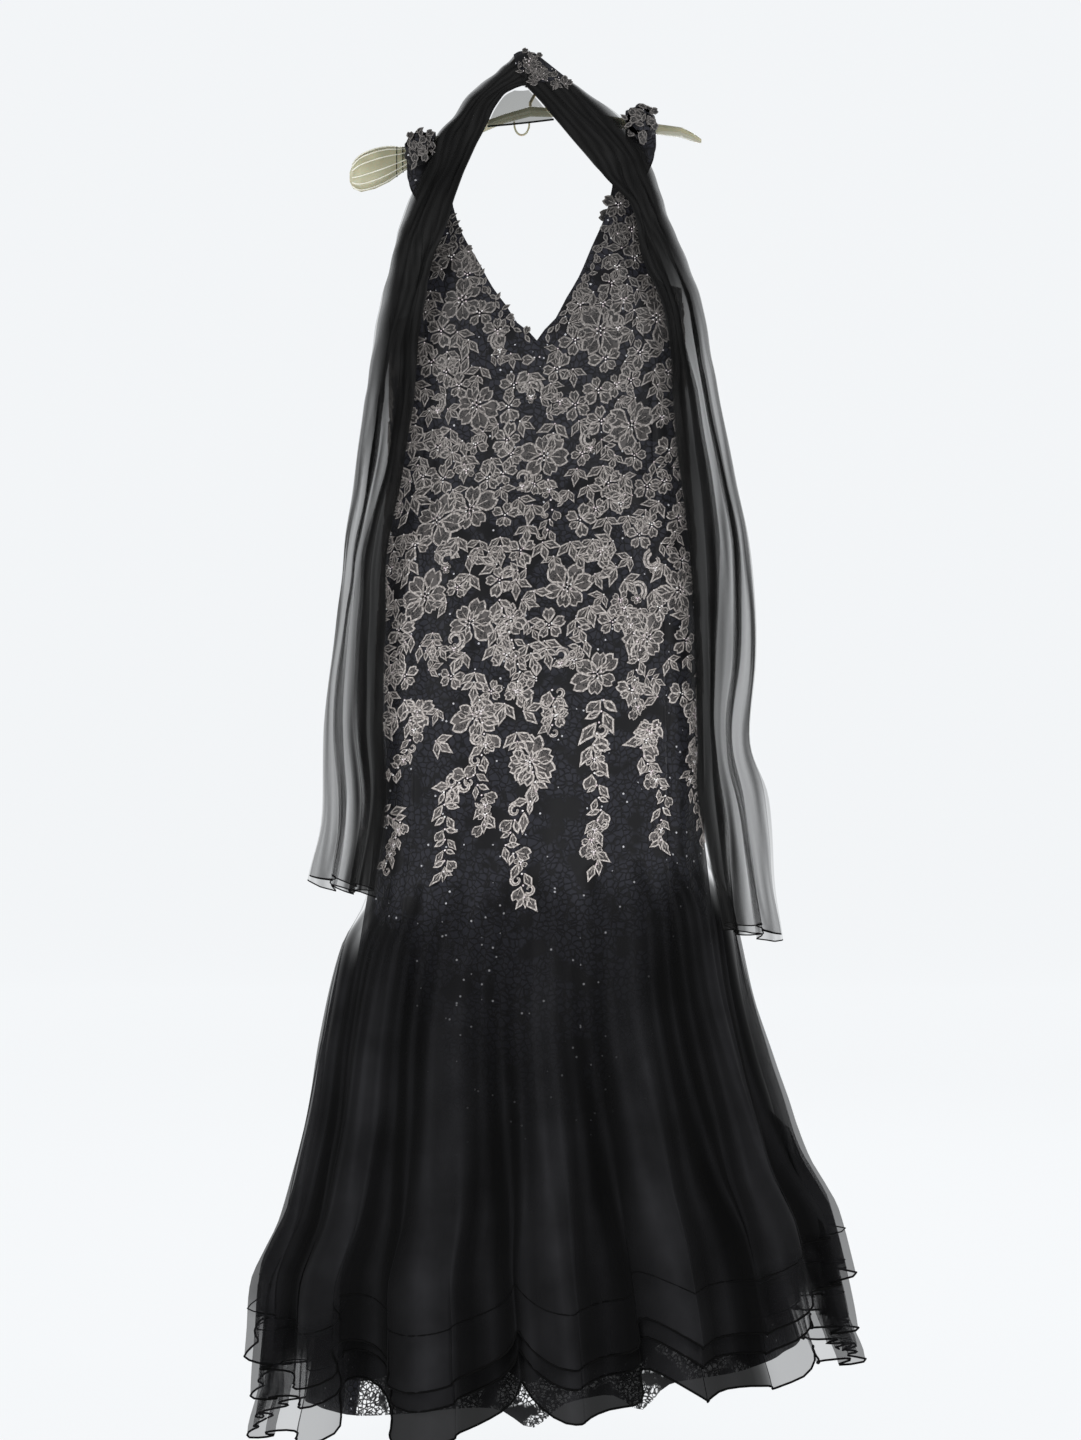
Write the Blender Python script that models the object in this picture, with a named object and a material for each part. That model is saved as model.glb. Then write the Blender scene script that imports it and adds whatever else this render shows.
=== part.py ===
"""A trumpet gown of corded lace with a layered tulle flare and a net stole, on a ribbed plastic hanger.

Lengths in the tables are millimetres of the real gown. The origin is the seat of the hanger's
hook, +X is the right of the front view, -Y is the front and +Z is up. "drop" is how far a place
hangs below the hook before the hanger's lean is added.
"""

import math

import bmesh
import bpy
from mathutils import Vector

MM = 0.001

# The hanger leans, so the whole gown hangs higher on its right by this much for each step across.
LEAN = 0.12

# Cloth walls
LACE_WALL = 2.0
TULLE_WALL = 1.2
NET_WALL = 1.0
SEAM_GAP = 0.3
# How far the corded blossoms stand off the lace.
APPLIQUE_RISE = 1.2

# Angles round the gown start at the centre front and grow towards its right side.
PRINCESS = math.radians(50)
SIDE = math.radians(90)
CENTRE_BACK = math.radians(180)

# Drops of the main lines
STRAP_SEAM = 173
NECK_POINT = 342
UNDERARM = 296
SHEATH_END = 936
LACE_HEM = 1555

# Rows and columns of points in the lace panels, close on the sheath and wide under the tulle.
BODICE_ROWS = (196, 219, 243, 268, 296, 318, 342, 366, 388)
SHEATH_ROWS = 19
FLARE_ROWS = 9
FRONT_COLUMNS = 8
BACK_COLUMNS = 6
SIDE_COLUMNS = 4

TULLE_COLUMNS = 35
TULLE_WAVES = 14

# The gown's middle line: drop, how far right of the hook it hangs.
MIDDLE = (
    (60, 5),
    (173, 8),
    (296, 12),
    (464, 14),
    (759, 15),
    (877, 16),
    (957, 13),
    (1121, 10),
    (1217, 15),
    (1332, 19),
    (1396, 20),
    (1455, 25),
    (1575, 33),
)

# The lace sheath and the underskirt that it runs into: drop, half width, half depth, fold depth.
LACE = (
    (110, 170, 26, 0),
    (173, 170, 40, 0),
    (234, 170, 56, 0),
    (296, 171, 72, 0),
    (342, 172, 76, 0),
    (405, 173, 70, 0),
    (464, 175, 58, 0),
    (511, 178, 52, 0),
    (594, 184, 70, 0),
    (664, 188, 82, 0),
    (759, 191, 88, 0),
    (877, 193, 92, 0),
    (936, 195, 95, 0),
    (995, 202, 99, 2),
    (1113, 217, 105, 4),
    (1231, 231, 108, 5),
    (1349, 246, 112, 6),
    (1467, 268, 128, 7),
    (1555, 290, 146, 8),
)

# The outermost tulle: drop, half width and half depth over the crests, height of the waves.
TULLE = (
    (957, 201, 101, 0),
    (995, 222, 112, 2),
    (1035, 237, 121, 4),
    (1121, 257, 136, 7),
    (1217, 282, 157, 12),
    (1261, 296, 167, 14),
    (1332, 320, 184, 18),
    (1366, 339, 195, 20),
    (1396, 354, 204, 21),
    (1455, 365, 214, 22),
    (1520, 376, 222, 23),
    (1575, 381, 228, 23),
)

# Each tier of tulle: the drops of its rows from its seam to its hem, how far it hangs inside the
# outline at the first and last of the two drops named "spread", and how far its seam clears the lace.
TIERS = {
    "upper": {
        "rows": (957, 1000, 1060, 1130, 1200, 1260, 1320, 1380, 1445, 1512),
        "inside": (0, 0),
        "spread": (957, 1512),
        "seam": 0.9,
    },
    "middle": {
        "rows": (1240, 1320, 1380, 1445, 1535),
        "inside": (10, 10),
        "spread": (1240, 1535),
        "seam": 1.2,
    },
    "lower": {
        "rows": (1300, 1380, 1445, 1515, 1572),
        "inside": (20, 6),
        "spread": (1515, 1575),
        "seam": 1.6,
    },
}
# How far below its seam a tier has swung out to its own line.
SWING = 62

# Where a tulle hem is caught up: tier, degrees round the gown, half width in degrees, lift.
HEM_LIFTS = (
    ("upper", -97, 24, 66),
    ("upper", 88, 22, 48),
    ("middle", -97, 20, 22),
    ("upper", -40, 7, 48),
    ("middle", -40, 7, 58),
    ("lower", -40, 6, 62),
    ("upper", 57, 7, 30),
    ("middle", 57, 7, 34),
    ("lower", 57, 6, 34),
)
HEM_SCALLOP = 5

# The V of the neck: drop, half of the gap between its edges. The back's is the same but wider.
NECK = ((173, 92.6), (205, 83.8), (243, 65.5), (277, 49.6), (305, 31.9), (323, 22), (342, 0))
BACK_NECK = ((173, 94), (219, 80), (268, 64), (316, 44), (342, 32), (370, 14), (388, 0))
# The armhole: degrees round from the front or the back, drop of the side panel's edge.
ARMHOLE = ((50, 268), (58, 290), (68, 295), (80, 296), (90, 296))

# Soft upright creases beside the princess seams: degrees, half width in degrees, depth.
CREASES = ((-44, 6, 7), (43, 6, 7), (-143, 8, 6), (138, 8, 6))
CREASE_FROM, CREASE_DEEP, CREASE_TO = 300, 480, 960

# Where a blossom's raised ground ends, and how wide its slope is, in radii.
BLOSSOM_REACH = 1.15
BLOSSOM_SLOPE = 0.625
# Corded blossoms of the lace: across, down, radius, as seen from the front.
BLOSSOMS = (
    (-74, 287, 33),
    (87, 323, 33),
    (112, 234, 22),
    (-58, 411, 34),
    (-105, 407, 22),
    (32, 417, 24),
    (129, 463, 26),
    (21, 471, 33),
    (-98, 498, 22),
    (97, 503, 26),
    (-66, 533, 34),
    (64, 527, 22),
    (-6, 582, 24),
    (101, 592, 24),
    (48, 625, 34),
    (-120, 636, 33),
    (-66, 668, 33),
    (21, 687, 22),
    (143, 684, 34),
    (84, 728, 34),
    (-87, 739, 22),
    (-58, 774, 33),
    (145, 795, 28),
    (-149, 782, 22),
    (5, 832, 34),
    (78, 865, 28),
)

# A shoulder strap, over its hanger arm from front to back: depth and drop of the side that lies
# on the arm, depth and drop of the side that shows, and how far it follows the arm's slope.
STRAP_RIGHT = (
    (-29.5, 173, -31.5, 173, 0.0),
    (-25, 150, -27.5, 150, 0.3),
    (-21, 125, -25, 126, 0.7),
    (-19.5, 106, -24, 104, 1.0),
    (-17.8, 93.0, -19, 86, 1.0),
    (0, 91.0, 0, 78, 1.0),
    (17.8, 93.0, 19, 86, 1.0),
    (19.5, 106, 24, 104, 1.0),
    (21, 125, 25, 126, 0.7),
    (25, 150, 27.5, 150, 0.3),
    (29.5, 173, 31.5, 173, 0.0),
)
STRAP_LEFT = (
    (-29.5, 173, -31.5, 173, 0.0),
    (-24, 150, -27, 150, 0.3),
    (-18, 130, -24, 128, 0.7),
    (-13.2, 112, -22, 106, 1.0),
    (-12.4, 86, -17, 84, 1.0),
    (0, 82.5, 0, 76, 1.0),
    (12.4, 86, 17, 84, 1.0),
    (13.2, 112, 22, 106, 1.0),
    (18, 130, 24, 128, 0.7),
    (24, 150, 27, 150, 0.3),
    (29.5, 173, 31.5, 173, 0.0),
)
STRAP_COLUMNS = 4
STRAP_CROWN = 4
STRAP_EDGES_TUCKED = 0.12
# The strap's edges measured out from the middle line, at its seam and where it meets the arm.
STRAP_EDGES_SEAM = (92.6, 130.2)
STRAP_EDGES_TOP = (112, 146)
STRAP_MIDDLE = 129
STRAP_TOP_DROP = 118

# The hanger: distance out from its crown, height, depth, centre in depth.
HANGER_SLOPE = 0.295
HANGER_CROWN_DROP = 60
HANGER_LEFT = (
    (30, 11, 13, 0),
    (60, 13, 14, 0),
    (90, 18, 15, 0),
    (112, 22, 16, 0),
    (148, 28, 17, -2),
    (166, 42, 20, -9),
    (182, 47, 20, -16),
    (198, 44, 18, -23),
    (207, 30, 13, -27),
    (211, 12, 6, -29),
)
HANGER_RIGHT = (
    (30, 11, 14, 0),
    (60, 11, 18, 0),
    (90, 11, 23, 0),
    (112, 11, 27, 0),
    (148, 10, 30, -1),
    (164, 9, 37, -4),
    (178, 8, 38, -8),
    (190, 7, 31, -12),
    (198, 5.5, 18, -14),
    (201, 4, 8, -15),
)
HANGER_CROWN = (12, 13)
HANGER_CROWN_ROUND = 5
HANGER_CROWN_SPREAD = 22
HANGER_TIP_DIP = 8
HANGER_TIP_FROM = 175
HANGER_SIDES = 16
RIB_DEPTH = 0.05

# The hook, a bent wire.
HOOK_WIRE = 1.8
HOOK_INSIDE = 17
HOOK_TIP_ANGLE = 205
HOOK_STEM_BEND = 18
HOOK_STEM_UPRIGHT = 4
HOOK_STEPS = 14
# The small loop under the crown.
LOOP_WIRE = 1.3
LOOP_FROM_CROWN = 10
LOOP_HALF_WIDTH = 9
LOOP_DEPTH = 16

# The stole from the hook down to each hem: across and height of the outer edge, across and
# height of the inner edge, depth of the outer and inner edges, how far the outer edge turns
# behind, depth of the pleats.
STOLE_LEFT = (
    (-0.2, 6.0, -0.2, -37, 0, -13, 8, 0),
    (-9.4, 5.2, -6, -38, 0, -13.5, 8, 0),
    (-24.8, -8, -14, -42, 0, -15, 7, 1),
    (-42.5, -24.8, -26, -50, -2, -17, 5, 2),
    (-67.3, -46, -38, -68, -8, -19, 4, 3),
    (-87.3, -75.5, -46, -87, -14, -22, 3, 3),
    (-105, -97, -58, -112, -28, -26, 3, 4),
    (-115, -131, -72, -145, -36, -36, 3, 4),
    (-128.6, -158, -82.6, -176, -40, -44, 3, 5),
    (-145, -199, -94, -217, -47, -52, 3, 5),
    (-153, -228, -105, -244, -50, -58, 3, 6),
    (-160.5, -263, -113, -275, -50, -62, 3, 6),
    (-170, -298, -118, -293, -48, -62, 3, 6),
    (-179, -343, -130, -335, -44, -60, 3, 7),
    (-186, -390, -137, -380, -40, -56, 3, 7),
    (-191, -428, -143, -428, -38, -52, 3, 8),
    (-203, -511, -157, -511, -36, -48, 3, 9),
    (-215, -594, -172, -594, -36, -46, 3, 10),
    (-223, -675, -173.5, -675, -36, -47, 3, 10),
    (-236, -783, -177, -783, -38, -48, 3, 10),
    (-238, -886, -172, -877, -42, -50, 3, 10),
    (-254, -963, -185, -983, -48, -54, 3, 10),
)
STOLE_RIGHT = (
    (0.2, 6.0, 0.2, -37, 0, -13, 8, 0),
    (8.5, 4.5, 1.5, -39, 0, -13.5, 8, 0),
    (16.5, -0.7, 3, -41, 0, -14.5, 8, 0),
    (50.7, -28.3, 19, -60, -4, -18, 5, 2),
    (81.4, -52, 40, -86, -13, -22, 3, 3),
    (111, -75.5, 73, -127, -27, -31, 3, 4),
    (137, -110, 87, -145, -33, -38, 3, 4),
    (146, -132, 101.5, -162, -38, -44, 3, 5),
    (157, -166, 120, -180.5, -43, -50, 3, 5),
    (166, -195, 134, -206, -46, -52, 3, 5),
    (180.5, -228, 147, -237, -47, -54, 3, 6),
    (193.5, -264, 160, -271, -47, -56, 3, 6),
    (206.5, -302, 168, -304, -46, -54, 3, 7),
    (216, -352, 176, -360, -43, -50, 3, 7),
    (226.6, -405, 180, -405, -42, -48, 3, 8),
    (245, -499, 190, -499, -40, -46, 3, 9),
    (264, -594, 202, -594, -40, -46, 3, 10),
    (270, -714, 207, -714, -40, -47, 3, 10),
    (262, -805, 210, -805, -42, -48, 3, 10),
    (283, -871, 211, -871, -44, -50, 3, 10),
    (289, -955, 225, -950, -50, -58, 3, 10),
    (298.5, -1032, 239.5, -1021, -58, -66, 3, 10),
)
STOLE_BACK_COLUMNS = 2
STOLE_FRONT_COLUMNS = 10
STOLE_PLEATS = 2.5
# How far across a band its outer edge comes back behind.
STOLE_TURNED_SHARE = 0.14

# The veil of net that hangs between the stole's two bands: across and height of its left edge,
# across and height of its right edge, depth of both.
VEIL = (
    (-13.5, -42.9, 3.2, -42.3, -16.0, -15.0),
    (-25.5, -50.6, 11.5, -52.0, -19.0, -17.6),
    (-37.4, -68.4, 19.0, -61.4, -22.0, -20.2),
    (-45.0, -86.8, 32.7, -78.4, -24.8, -23.5),
)
VEIL_COLUMNS = 5
VEIL_BELLY = 2.5

# The lace at the middle of the stole: place along the stole in rows of its tables, and how far
# down the front its pointed edge comes.
STOLE_LACE = (
    (-1.3, 0.35),
    (-1.0, 0.55),
    (-0.6, 0.70),
    (-0.25, 0.55),
    (0.5, 0.45),
    (1.2, 0.50),
    (1.9, 0.62),
    (2.25, 0.82),
    (2.5, 0.60),
    (2.8, 0.40),
    (3.1, 0.22),
)
STOLE_LACE_ROWS = 5
STOLE_LACE_WALL = 1.2
STOLE_LACE_EDGE = 0.06


def smooth_step(value):
    t = min(max(value, 0.0), 1.0)
    return t * t * (3 - 2 * t)


def read(table, place, column):
    """Reads a column of a table between its rows, on a smooth curve through them."""
    last = len(table) - 1
    if place <= table[0][0]:
        return table[0][column]
    if place >= table[last][0]:
        return table[last][column]
    row = next(i for i in range(last) if place <= table[i + 1][0])
    before, after = table[max(row - 1, 0)], table[min(row + 2, last)]
    low, high = table[row], table[row + 1]
    step = high[0] - low[0]
    t = (place - low[0]) / step
    slope_low = (high[column] - before[column]) / (high[0] - before[0]) * step
    slope_high = (after[column] - low[column]) / (after[0] - low[0]) * step
    return (
        (2 * t**3 - 3 * t**2 + 1) * low[column]
        + (t**3 - 2 * t**2 + t) * slope_low
        + (3 * t**2 - 2 * t**3) * high[column]
        + (t**3 - t**2) * slope_high
    )


def nearest_turn(angle):
    """The same angle, between half a turn either way."""
    return (angle + math.pi) % (2 * math.pi) - math.pi


def wave(angle):
    """The tulle's waves round the gown, from -1 in a valley to 1 on a crest, unevenly spaced."""
    phase = TULLE_WAVES * angle + 0.5 * math.sin(3 * angle + 0.7) + 0.35 * math.sin(5 * angle - 1.1)
    return math.cos(phase) * (0.85 + 0.15 * math.sin(2 * angle + 0.4))


def lace_fold(angle):
    """The underskirt's few broad folds."""
    return math.cos(7 * angle + 0.6 * math.sin(2 * angle))


def crease(angle, drop):
    """How deep the sheath's upright creases are here."""
    if drop < CREASE_DEEP:
        strength = smooth_step((drop - CREASE_FROM) / (CREASE_DEEP - CREASE_FROM))
    else:
        strength = smooth_step((CREASE_TO - drop) / (CREASE_TO - CREASE_DEEP))
    depth = 0.0
    for middle, half, deep in CREASES:
        away = math.degrees(nearest_turn(angle - math.radians(middle))) / half
        depth += deep * math.exp(-away * away)
    return depth * strength


def round_the_gown(drop, angle, half_width, half_depth, out):
    """A point of an oval round the gown, moved out by some millimetres, in metres."""
    across, deep = half_width * math.sin(angle), -half_depth * math.cos(angle)
    normal = Vector((math.sin(angle) / half_width, -math.cos(angle) / half_depth)).normalized()
    x = read(MIDDLE, drop, 1) + across + normal.x * out
    y = deep + normal.y * out
    return Vector((x, y, LEAN * x - drop)) * MM


def lace_point(drop, angle, out=0.0):
    """A point of the lace sheath and underskirt."""
    fold = read(LACE, drop, 3) * lace_fold(angle) - crease(angle, drop)
    return round_the_gown(drop, angle, read(LACE, drop, 1), read(LACE, drop, 2), fold + out)


def tulle_point(tier, drop, angle, out=0.0):
    """A point of a tulle tier, which leaves the lace at its seam and swings out to its own line."""
    shape = TIERS[tier]
    height = read(TULLE, drop, 3)
    start, end = shape["spread"]
    first, last = shape["inside"]
    inside = first + (last - first) * smooth_step((drop - start) / (end - start))
    half_width, half_depth = read(TULLE, drop, 1) - height, read(TULLE, drop, 2) - height
    free = round_the_gown(drop, angle, half_width, half_depth, height * wave(angle) - inside + out)
    lift = LACE_WALL / 2 + TULLE_WALL / 2 + shape["seam"]
    seam = lace_point(drop, angle, lift + out)
    return seam.lerp(free, smooth_step((drop - shape["rows"][0]) / SWING))


def normal_of(point, first, second):
    """The unit normal of a surface, from its points a small step to each side."""
    step_a, step_b = 1.0, 0.01
    along = point(first + step_a, second) - point(first - step_a, second)
    round_it = point(first, second + step_b) - point(first, second - step_b)
    return round_it.cross(along).normalized() * -1


def applique(point):
    """How far a corded blossom raises the lace here, the same on the back as on the front."""
    side = 1 if point.y < 0 else -1
    across, down = side * point.x / MM, -point.z / MM
    rise = 0.0
    for blossom_across, blossom_down, radius in BLOSSOMS:
        away = math.hypot(across - blossom_across, down - blossom_down) / radius
        rise = max(rise, smooth_step((BLOSSOM_REACH - away) / BLOSSOM_SLOPE))
    return APPLIQUE_RISE * rise


def material(name, colour, roughness, metallic=0.0):
    made = bpy.data.materials.new(name)
    made.use_nodes = True
    shader = made.node_tree.nodes["Principled BSDF"]
    shader.inputs["Base Color"].default_value = (*colour, 1)
    shader.inputs["Roughness"].default_value = roughness
    shader.inputs["Metallic"].default_value = metallic
    return made


def grid_faces(bm, outer, inner):
    """Faces of a wall between two grids of points, the same diagonal on both sides."""
    for row in range(len(outer) - 1):
        for column in range(len(outer[row]) - 1):
            for grid, turn in ((outer, False), (inner, True)):
                a, b = grid[row][column], grid[row + 1][column]
                c, d = grid[row + 1][column + 1], grid[row][column + 1]
                for corners in ((a, b, c), (a, c, d)):
                    bm.faces.new(corners[::-1] if turn else corners)


def rim_faces(bm, outer_edge, inner_edge):
    """The narrow strip that closes a wall along one edge."""
    for i in range(len(outer_edge) - 1):
        a, b = outer_edge[i], outer_edge[i + 1]
        c, d = inner_edge[i + 1], inner_edge[i]
        bm.faces.new((a, b, c))
        bm.faces.new((a, c, d))


def vertices(bm, grid):
    return [[bm.verts.new(point) for point in row] for row in grid]


def close_grid(bm, outer, inner, first_column=True):
    """Adds one wall with its rims. The first column's rim may be left to the caller."""
    grid_faces(bm, outer, inner)
    rim_faces(bm, outer[0], inner[0])
    rim_faces(bm, outer[-1], inner[-1])
    rim_faces(bm, [row[-1] for row in outer], [row[-1] for row in inner])
    if first_column:
        rim_faces(bm, [row[0] for row in outer], [row[0] for row in inner])


def finish(name, bm, look):
    """Turns a bmesh into a named object with its material, faces pointing out."""
    bmesh.ops.remove_doubles(bm, verts=bm.verts, dist=1e-7)
    bmesh.ops.recalc_face_normals(bm, faces=bm.faces)
    mesh = bpy.data.meshes.new(name)
    bm.to_mesh(mesh)
    bm.free()
    mesh.materials.append(look)
    mesh.shade_smooth()
    made = bpy.data.objects.new(name, mesh)
    bpy.context.scene.collection.objects.link(made)
    return made


def trimmed(row, first=True, last=True):
    """A row of points with its ends drawn in by half of a seam gap."""
    row = list(row)
    if first:
        row[0] = row[0] + (row[1] - row[0]).normalized() * SEAM_GAP * 0.6 * MM
    if last:
        row[-1] = row[-1] + (row[-2] - row[-1]).normalized() * SEAM_GAP * 0.6 * MM
    return row


def lace_walls(places, first=True, last=True):
    """The outer and inner grids of a lace panel from its rows of (drop, angle)."""
    outer, inner = [], []
    for row in places:
        show, hide = [], []
        for drop, angle in row:
            middle = lace_point(drop, angle)
            normal = normal_of(lace_point, drop, angle)
            show.append(middle + normal * (LACE_WALL / 2 + applique(middle)) * MM)
            hide.append(middle - normal * LACE_WALL / 2 * MM)
        outer.append(trimmed(show, first, last))
        inner.append(trimmed(hide, first, last))
    return outer, inner


def lace_rows(top):
    """Drops of a lace panel's rows below top."""
    bodice_end = BODICE_ROWS[-1]
    rows = list(BODICE_ROWS)
    for start, end, count in ((bodice_end, SHEATH_END, SHEATH_ROWS), (SHEATH_END, LACE_HEM, FLARE_ROWS)):
        rows += [start + (end - start) * i / count for i in range(1, count + 1)]
    return [drop for drop in rows if drop > top + SEAM_GAP]


def neck_angle(table, drop):
    """The angle at which a neck edge lies at this drop, 0 below the point of the V."""
    if drop >= table[-1][0]:
        return 0.0
    return math.asin(max(read(table, drop, 1), 0.0) / read(LACE, drop, 1))


def front_centre(look):
    """The front from the straps to the hem, cut in a V, in one piece between the princess seams."""
    columns = FRONT_COLUMNS
    drops = [STRAP_SEAM + SEAM_GAP] + lace_rows(STRAP_SEAM)
    bm = bmesh.new()
    halves = []
    for side in (1, -1):
        places = []
        for drop in drops:
            start = neck_angle(NECK, drop)
            step = (PRINCESS - start) / columns
            places.append([(drop, side * (start + step * i)) for i in range(columns + 1)])
        outer, inner = lace_walls(places, first=False)
        halves.append((vertices(bm, outer), vertices(bm, inner)))
    split = next(i for i, drop in enumerate(drops) if drop >= NECK_POINT)
    for outer, inner in halves:
        close_grid(bm, outer, inner, first_column=False)
        rim_faces(bm, [row[0] for row in outer[: split + 1]], [row[0] for row in inner[: split + 1]])
    return finish("front_centre", bm, look)


def back_centre(name, side, look):
    """A back panel from the zip to the princess seam, with its half of the deep V."""
    columns = BACK_COLUMNS
    places = []
    for drop in [STRAP_SEAM + SEAM_GAP] + lace_rows(STRAP_SEAM):
        start = CENTRE_BACK - neck_angle(BACK_NECK, drop)
        step = (CENTRE_BACK - PRINCESS - start) / columns
        places.append([(drop, side * (start + step * i)) for i in range(columns + 1)])
    outer, inner = lace_walls(places)
    bm = bmesh.new()
    close_grid(bm, vertices(bm, outer), vertices(bm, inner))
    return finish(name, bm, look)


def side_panel(name, side, behind, look):
    """A side panel from the armhole to the hem, between the princess seam and the side seam."""
    columns = SIDE_COLUMNS
    angles = [PRINCESS + (SIDE - PRINCESS) * i / columns for i in range(columns + 1)]
    top = [read(ARMHOLE, math.degrees(angle), 1) for angle in angles]
    rows = [top] + [[drop] * (columns + 1) for drop in lace_rows(UNDERARM)]
    turned = [side * (CENTRE_BACK - angle if behind else angle) for angle in angles]
    places = [list(zip(row, turned)) for row in rows]
    outer, inner = lace_walls(places)
    bm = bmesh.new()
    close_grid(bm, vertices(bm, outer), vertices(bm, inner))
    return finish(name, bm, look)


def hem_lift(tier, angle):
    lift = 0.0
    for name, middle, half, height in HEM_LIFTS:
        if name == tier:
            away = math.degrees(nearest_turn(angle - math.radians(middle))) / half
            lift += height * math.exp(-away * away)
    return lift


def tulle_panel(tier, half, look):
    """The front or the back half of a tulle tier, its waves growing towards the hem."""
    middle = 0 if half == "front" else math.pi
    rows = TIERS[tier]["rows"]
    top, hem = rows[0], rows[-1]
    outer, inner = [], []
    for nominal in rows:
        show, hide = [], []
        for i in range(TULLE_COLUMNS + 1):
            angle = middle + SIDE * (2 * i / TULLE_COLUMNS - 1)
            share = (nominal - top) / (hem - top)
            drop = nominal + share**2 * (HEM_SCALLOP * wave(angle) - hem_lift(tier, angle))
            centre = tulle_point(tier, drop, angle)
            normal = normal_of(lambda a, b: tulle_point(tier, a, b), drop, angle)
            show.append(centre + normal * TULLE_WALL / 2 * MM)
            hide.append(centre - normal * TULLE_WALL / 2 * MM)
        outer.append(trimmed(show))
        inner.append(trimmed(hide))
    bm = bmesh.new()
    close_grid(bm, vertices(bm, outer), vertices(bm, inner))
    return finish(f"tulle_{tier}_{half}", bm, look)


def strap(name, side, stations, look):
    """A shoulder strap, gathered into a knot where it lies over the hanger's arm."""
    outer, inner = [], []
    for near_y, near_drop, far_y, far_drop, follow in stations:
        show, hide = [], []
        for i in range(STRAP_COLUMNS + 1):
            u = i / STRAP_COLUMNS
            for y, drop, grid in ((far_y, far_drop, show), (near_y, near_drop, hide)):
                rise = smooth_step((STRAP_SEAM - drop) / (STRAP_SEAM - STRAP_TOP_DROP))
                inside = STRAP_EDGES_SEAM[0] + (STRAP_EDGES_TOP[0] - STRAP_EDGES_SEAM[0]) * rise
                outside = STRAP_EDGES_SEAM[1] + (STRAP_EDGES_TOP[1] - STRAP_EDGES_SEAM[1]) * rise
                out = inside + (outside - inside) * u
                slope = follow * HANGER_SLOPE * (out - STRAP_MIDDLE)
                crown = STRAP_CROWN * follow * (2 * u - 1) ** 2 if grid is show else 0
                drop_here = drop + slope + crown
                narrowing = STRAP_EDGES_TUCKED * follow * (2 * u - 1) ** 2 if grid is show else 0
                x = read(MIDDLE, drop_here, 1) + side * out
                grid.append(Vector((x, y * (1 - narrowing), LEAN * x - drop_here)) * MM)
        outer.append(show)
        inner.append(hide)
    bm = bmesh.new()
    close_grid(bm, vertices(bm, outer), vertices(bm, inner))
    return finish(name, bm, look)


def oval(height, depth, centre):
    """A ribbed section of the hanger at one place along it."""
    points = []
    for i in range(HANGER_SIDES):
        turn = 2 * math.pi * i / HANGER_SIDES
        rib = 1 if i % 2 == 0 else 1 - RIB_DEPTH
        cosine, sine = math.cos(turn), math.sin(turn)
        y = centre[1] + depth / 2 * rib * math.copysign(abs(cosine) ** 0.8, cosine)
        z = centre[2] + height / 2 * rib * math.copysign(abs(sine) ** 0.8, sine)
        points.append(Vector((centre[0], y, z)) * MM)
    return points


def hanger_drop(out):
    """The drop of the hanger's arms at a distance out from the crown, left arms negative."""
    reach = abs(out)
    dip = HANGER_TIP_DIP * smooth_step((reach - HANGER_TIP_FROM) / 30) if out > 0 else 0
    crown = HANGER_CROWN_ROUND * math.exp(-((reach / HANGER_CROWN_SPREAD) ** 2))
    return HANGER_CROWN_DROP + HANGER_SLOPE * reach + dip + crown


def hanger(look):
    """The hanger's two arms and crown in one piece, its ends broad and turned to the front."""
    middle = read(MIDDLE, HANGER_CROWN_DROP, 1)
    stations = [(-out, *size) for out, *size in reversed(HANGER_LEFT)]
    stations.append((0, *HANGER_CROWN, 0))
    stations += [(out, *size) for out, *size in HANGER_RIGHT]
    bm = bmesh.new()
    rings = []
    for out, height, depth, y in stations:
        x = middle + out
        centre = (x, y, LEAN * x - hanger_drop(out))
        rings.append([bm.verts.new(p) for p in oval(height, depth, centre)])
    for near, far in zip(rings, rings[1:]):
        for i in range(HANGER_SIDES):
            j = (i + 1) % HANGER_SIDES
            bm.faces.new((near[i], near[j], far[j], far[i]))
    bm.faces.new(rings[0])
    bm.faces.new(rings[-1])
    bmesh.ops.triangulate(bm, faces=bm.faces)
    return finish("hanger", bm, look)


def wire(name, points, radius, look, sides=8):
    """A round wire along a line of points that lie in one upright plane."""
    bm = bmesh.new()
    rings = []
    for i, point in enumerate(points):
        before, after = points[max(i - 1, 0)], points[min(i + 1, len(points) - 1)]
        along = (after - before).normalized()
        level = Vector((0, 1, 0))
        other = along.cross(level)
        ring = []
        for k in range(sides):
            turn = 2 * math.pi * k / sides
            spoke = level * math.cos(turn) + other * math.sin(turn)
            ring.append(bm.verts.new(point + spoke * radius * MM))
        rings.append(ring)
    for near, far in zip(rings, rings[1:]):
        for k in range(sides):
            j = (k + 1) % sides
            bm.faces.new((near[k], near[j], far[j], far[k]))
    bm.faces.new(rings[0])
    bm.faces.new(rings[-1])
    bmesh.ops.triangulate(bm, faces=bm.faces)
    return finish(name, bm, look)


def hook(look):
    """The wire hook: a stem out of the crown that bends round over the seat to its open tip."""
    bend = HOOK_INSIDE + HOOK_WIRE
    centre = Vector((0, 0, -HOOK_INSIDE))
    x = read(MIDDLE, HANGER_CROWN_DROP, 1)
    crown_top = LEAN * x - hanger_drop(0) + HANGER_CROWN[0] / 2
    start = Vector((x, 0, crown_top + SEAM_GAP))
    arc = []
    for i in range(HOOK_STEPS + 1):
        turn = math.radians(-HOOK_STEM_BEND + (HOOK_TIP_ANGLE + HOOK_STEM_BEND) * i / HOOK_STEPS)
        arc.append(centre + Vector((math.cos(turn), 0, math.sin(turn))) * bend)
    upright = start + Vector((0, 0, HOOK_STEM_UPRIGHT))
    stem = [start, upright, (upright + arc[0]) / 2 + Vector((2, 0, 0))]
    return wire("hook", [p * MM for p in stem + arc], HOOK_WIRE, look)


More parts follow.
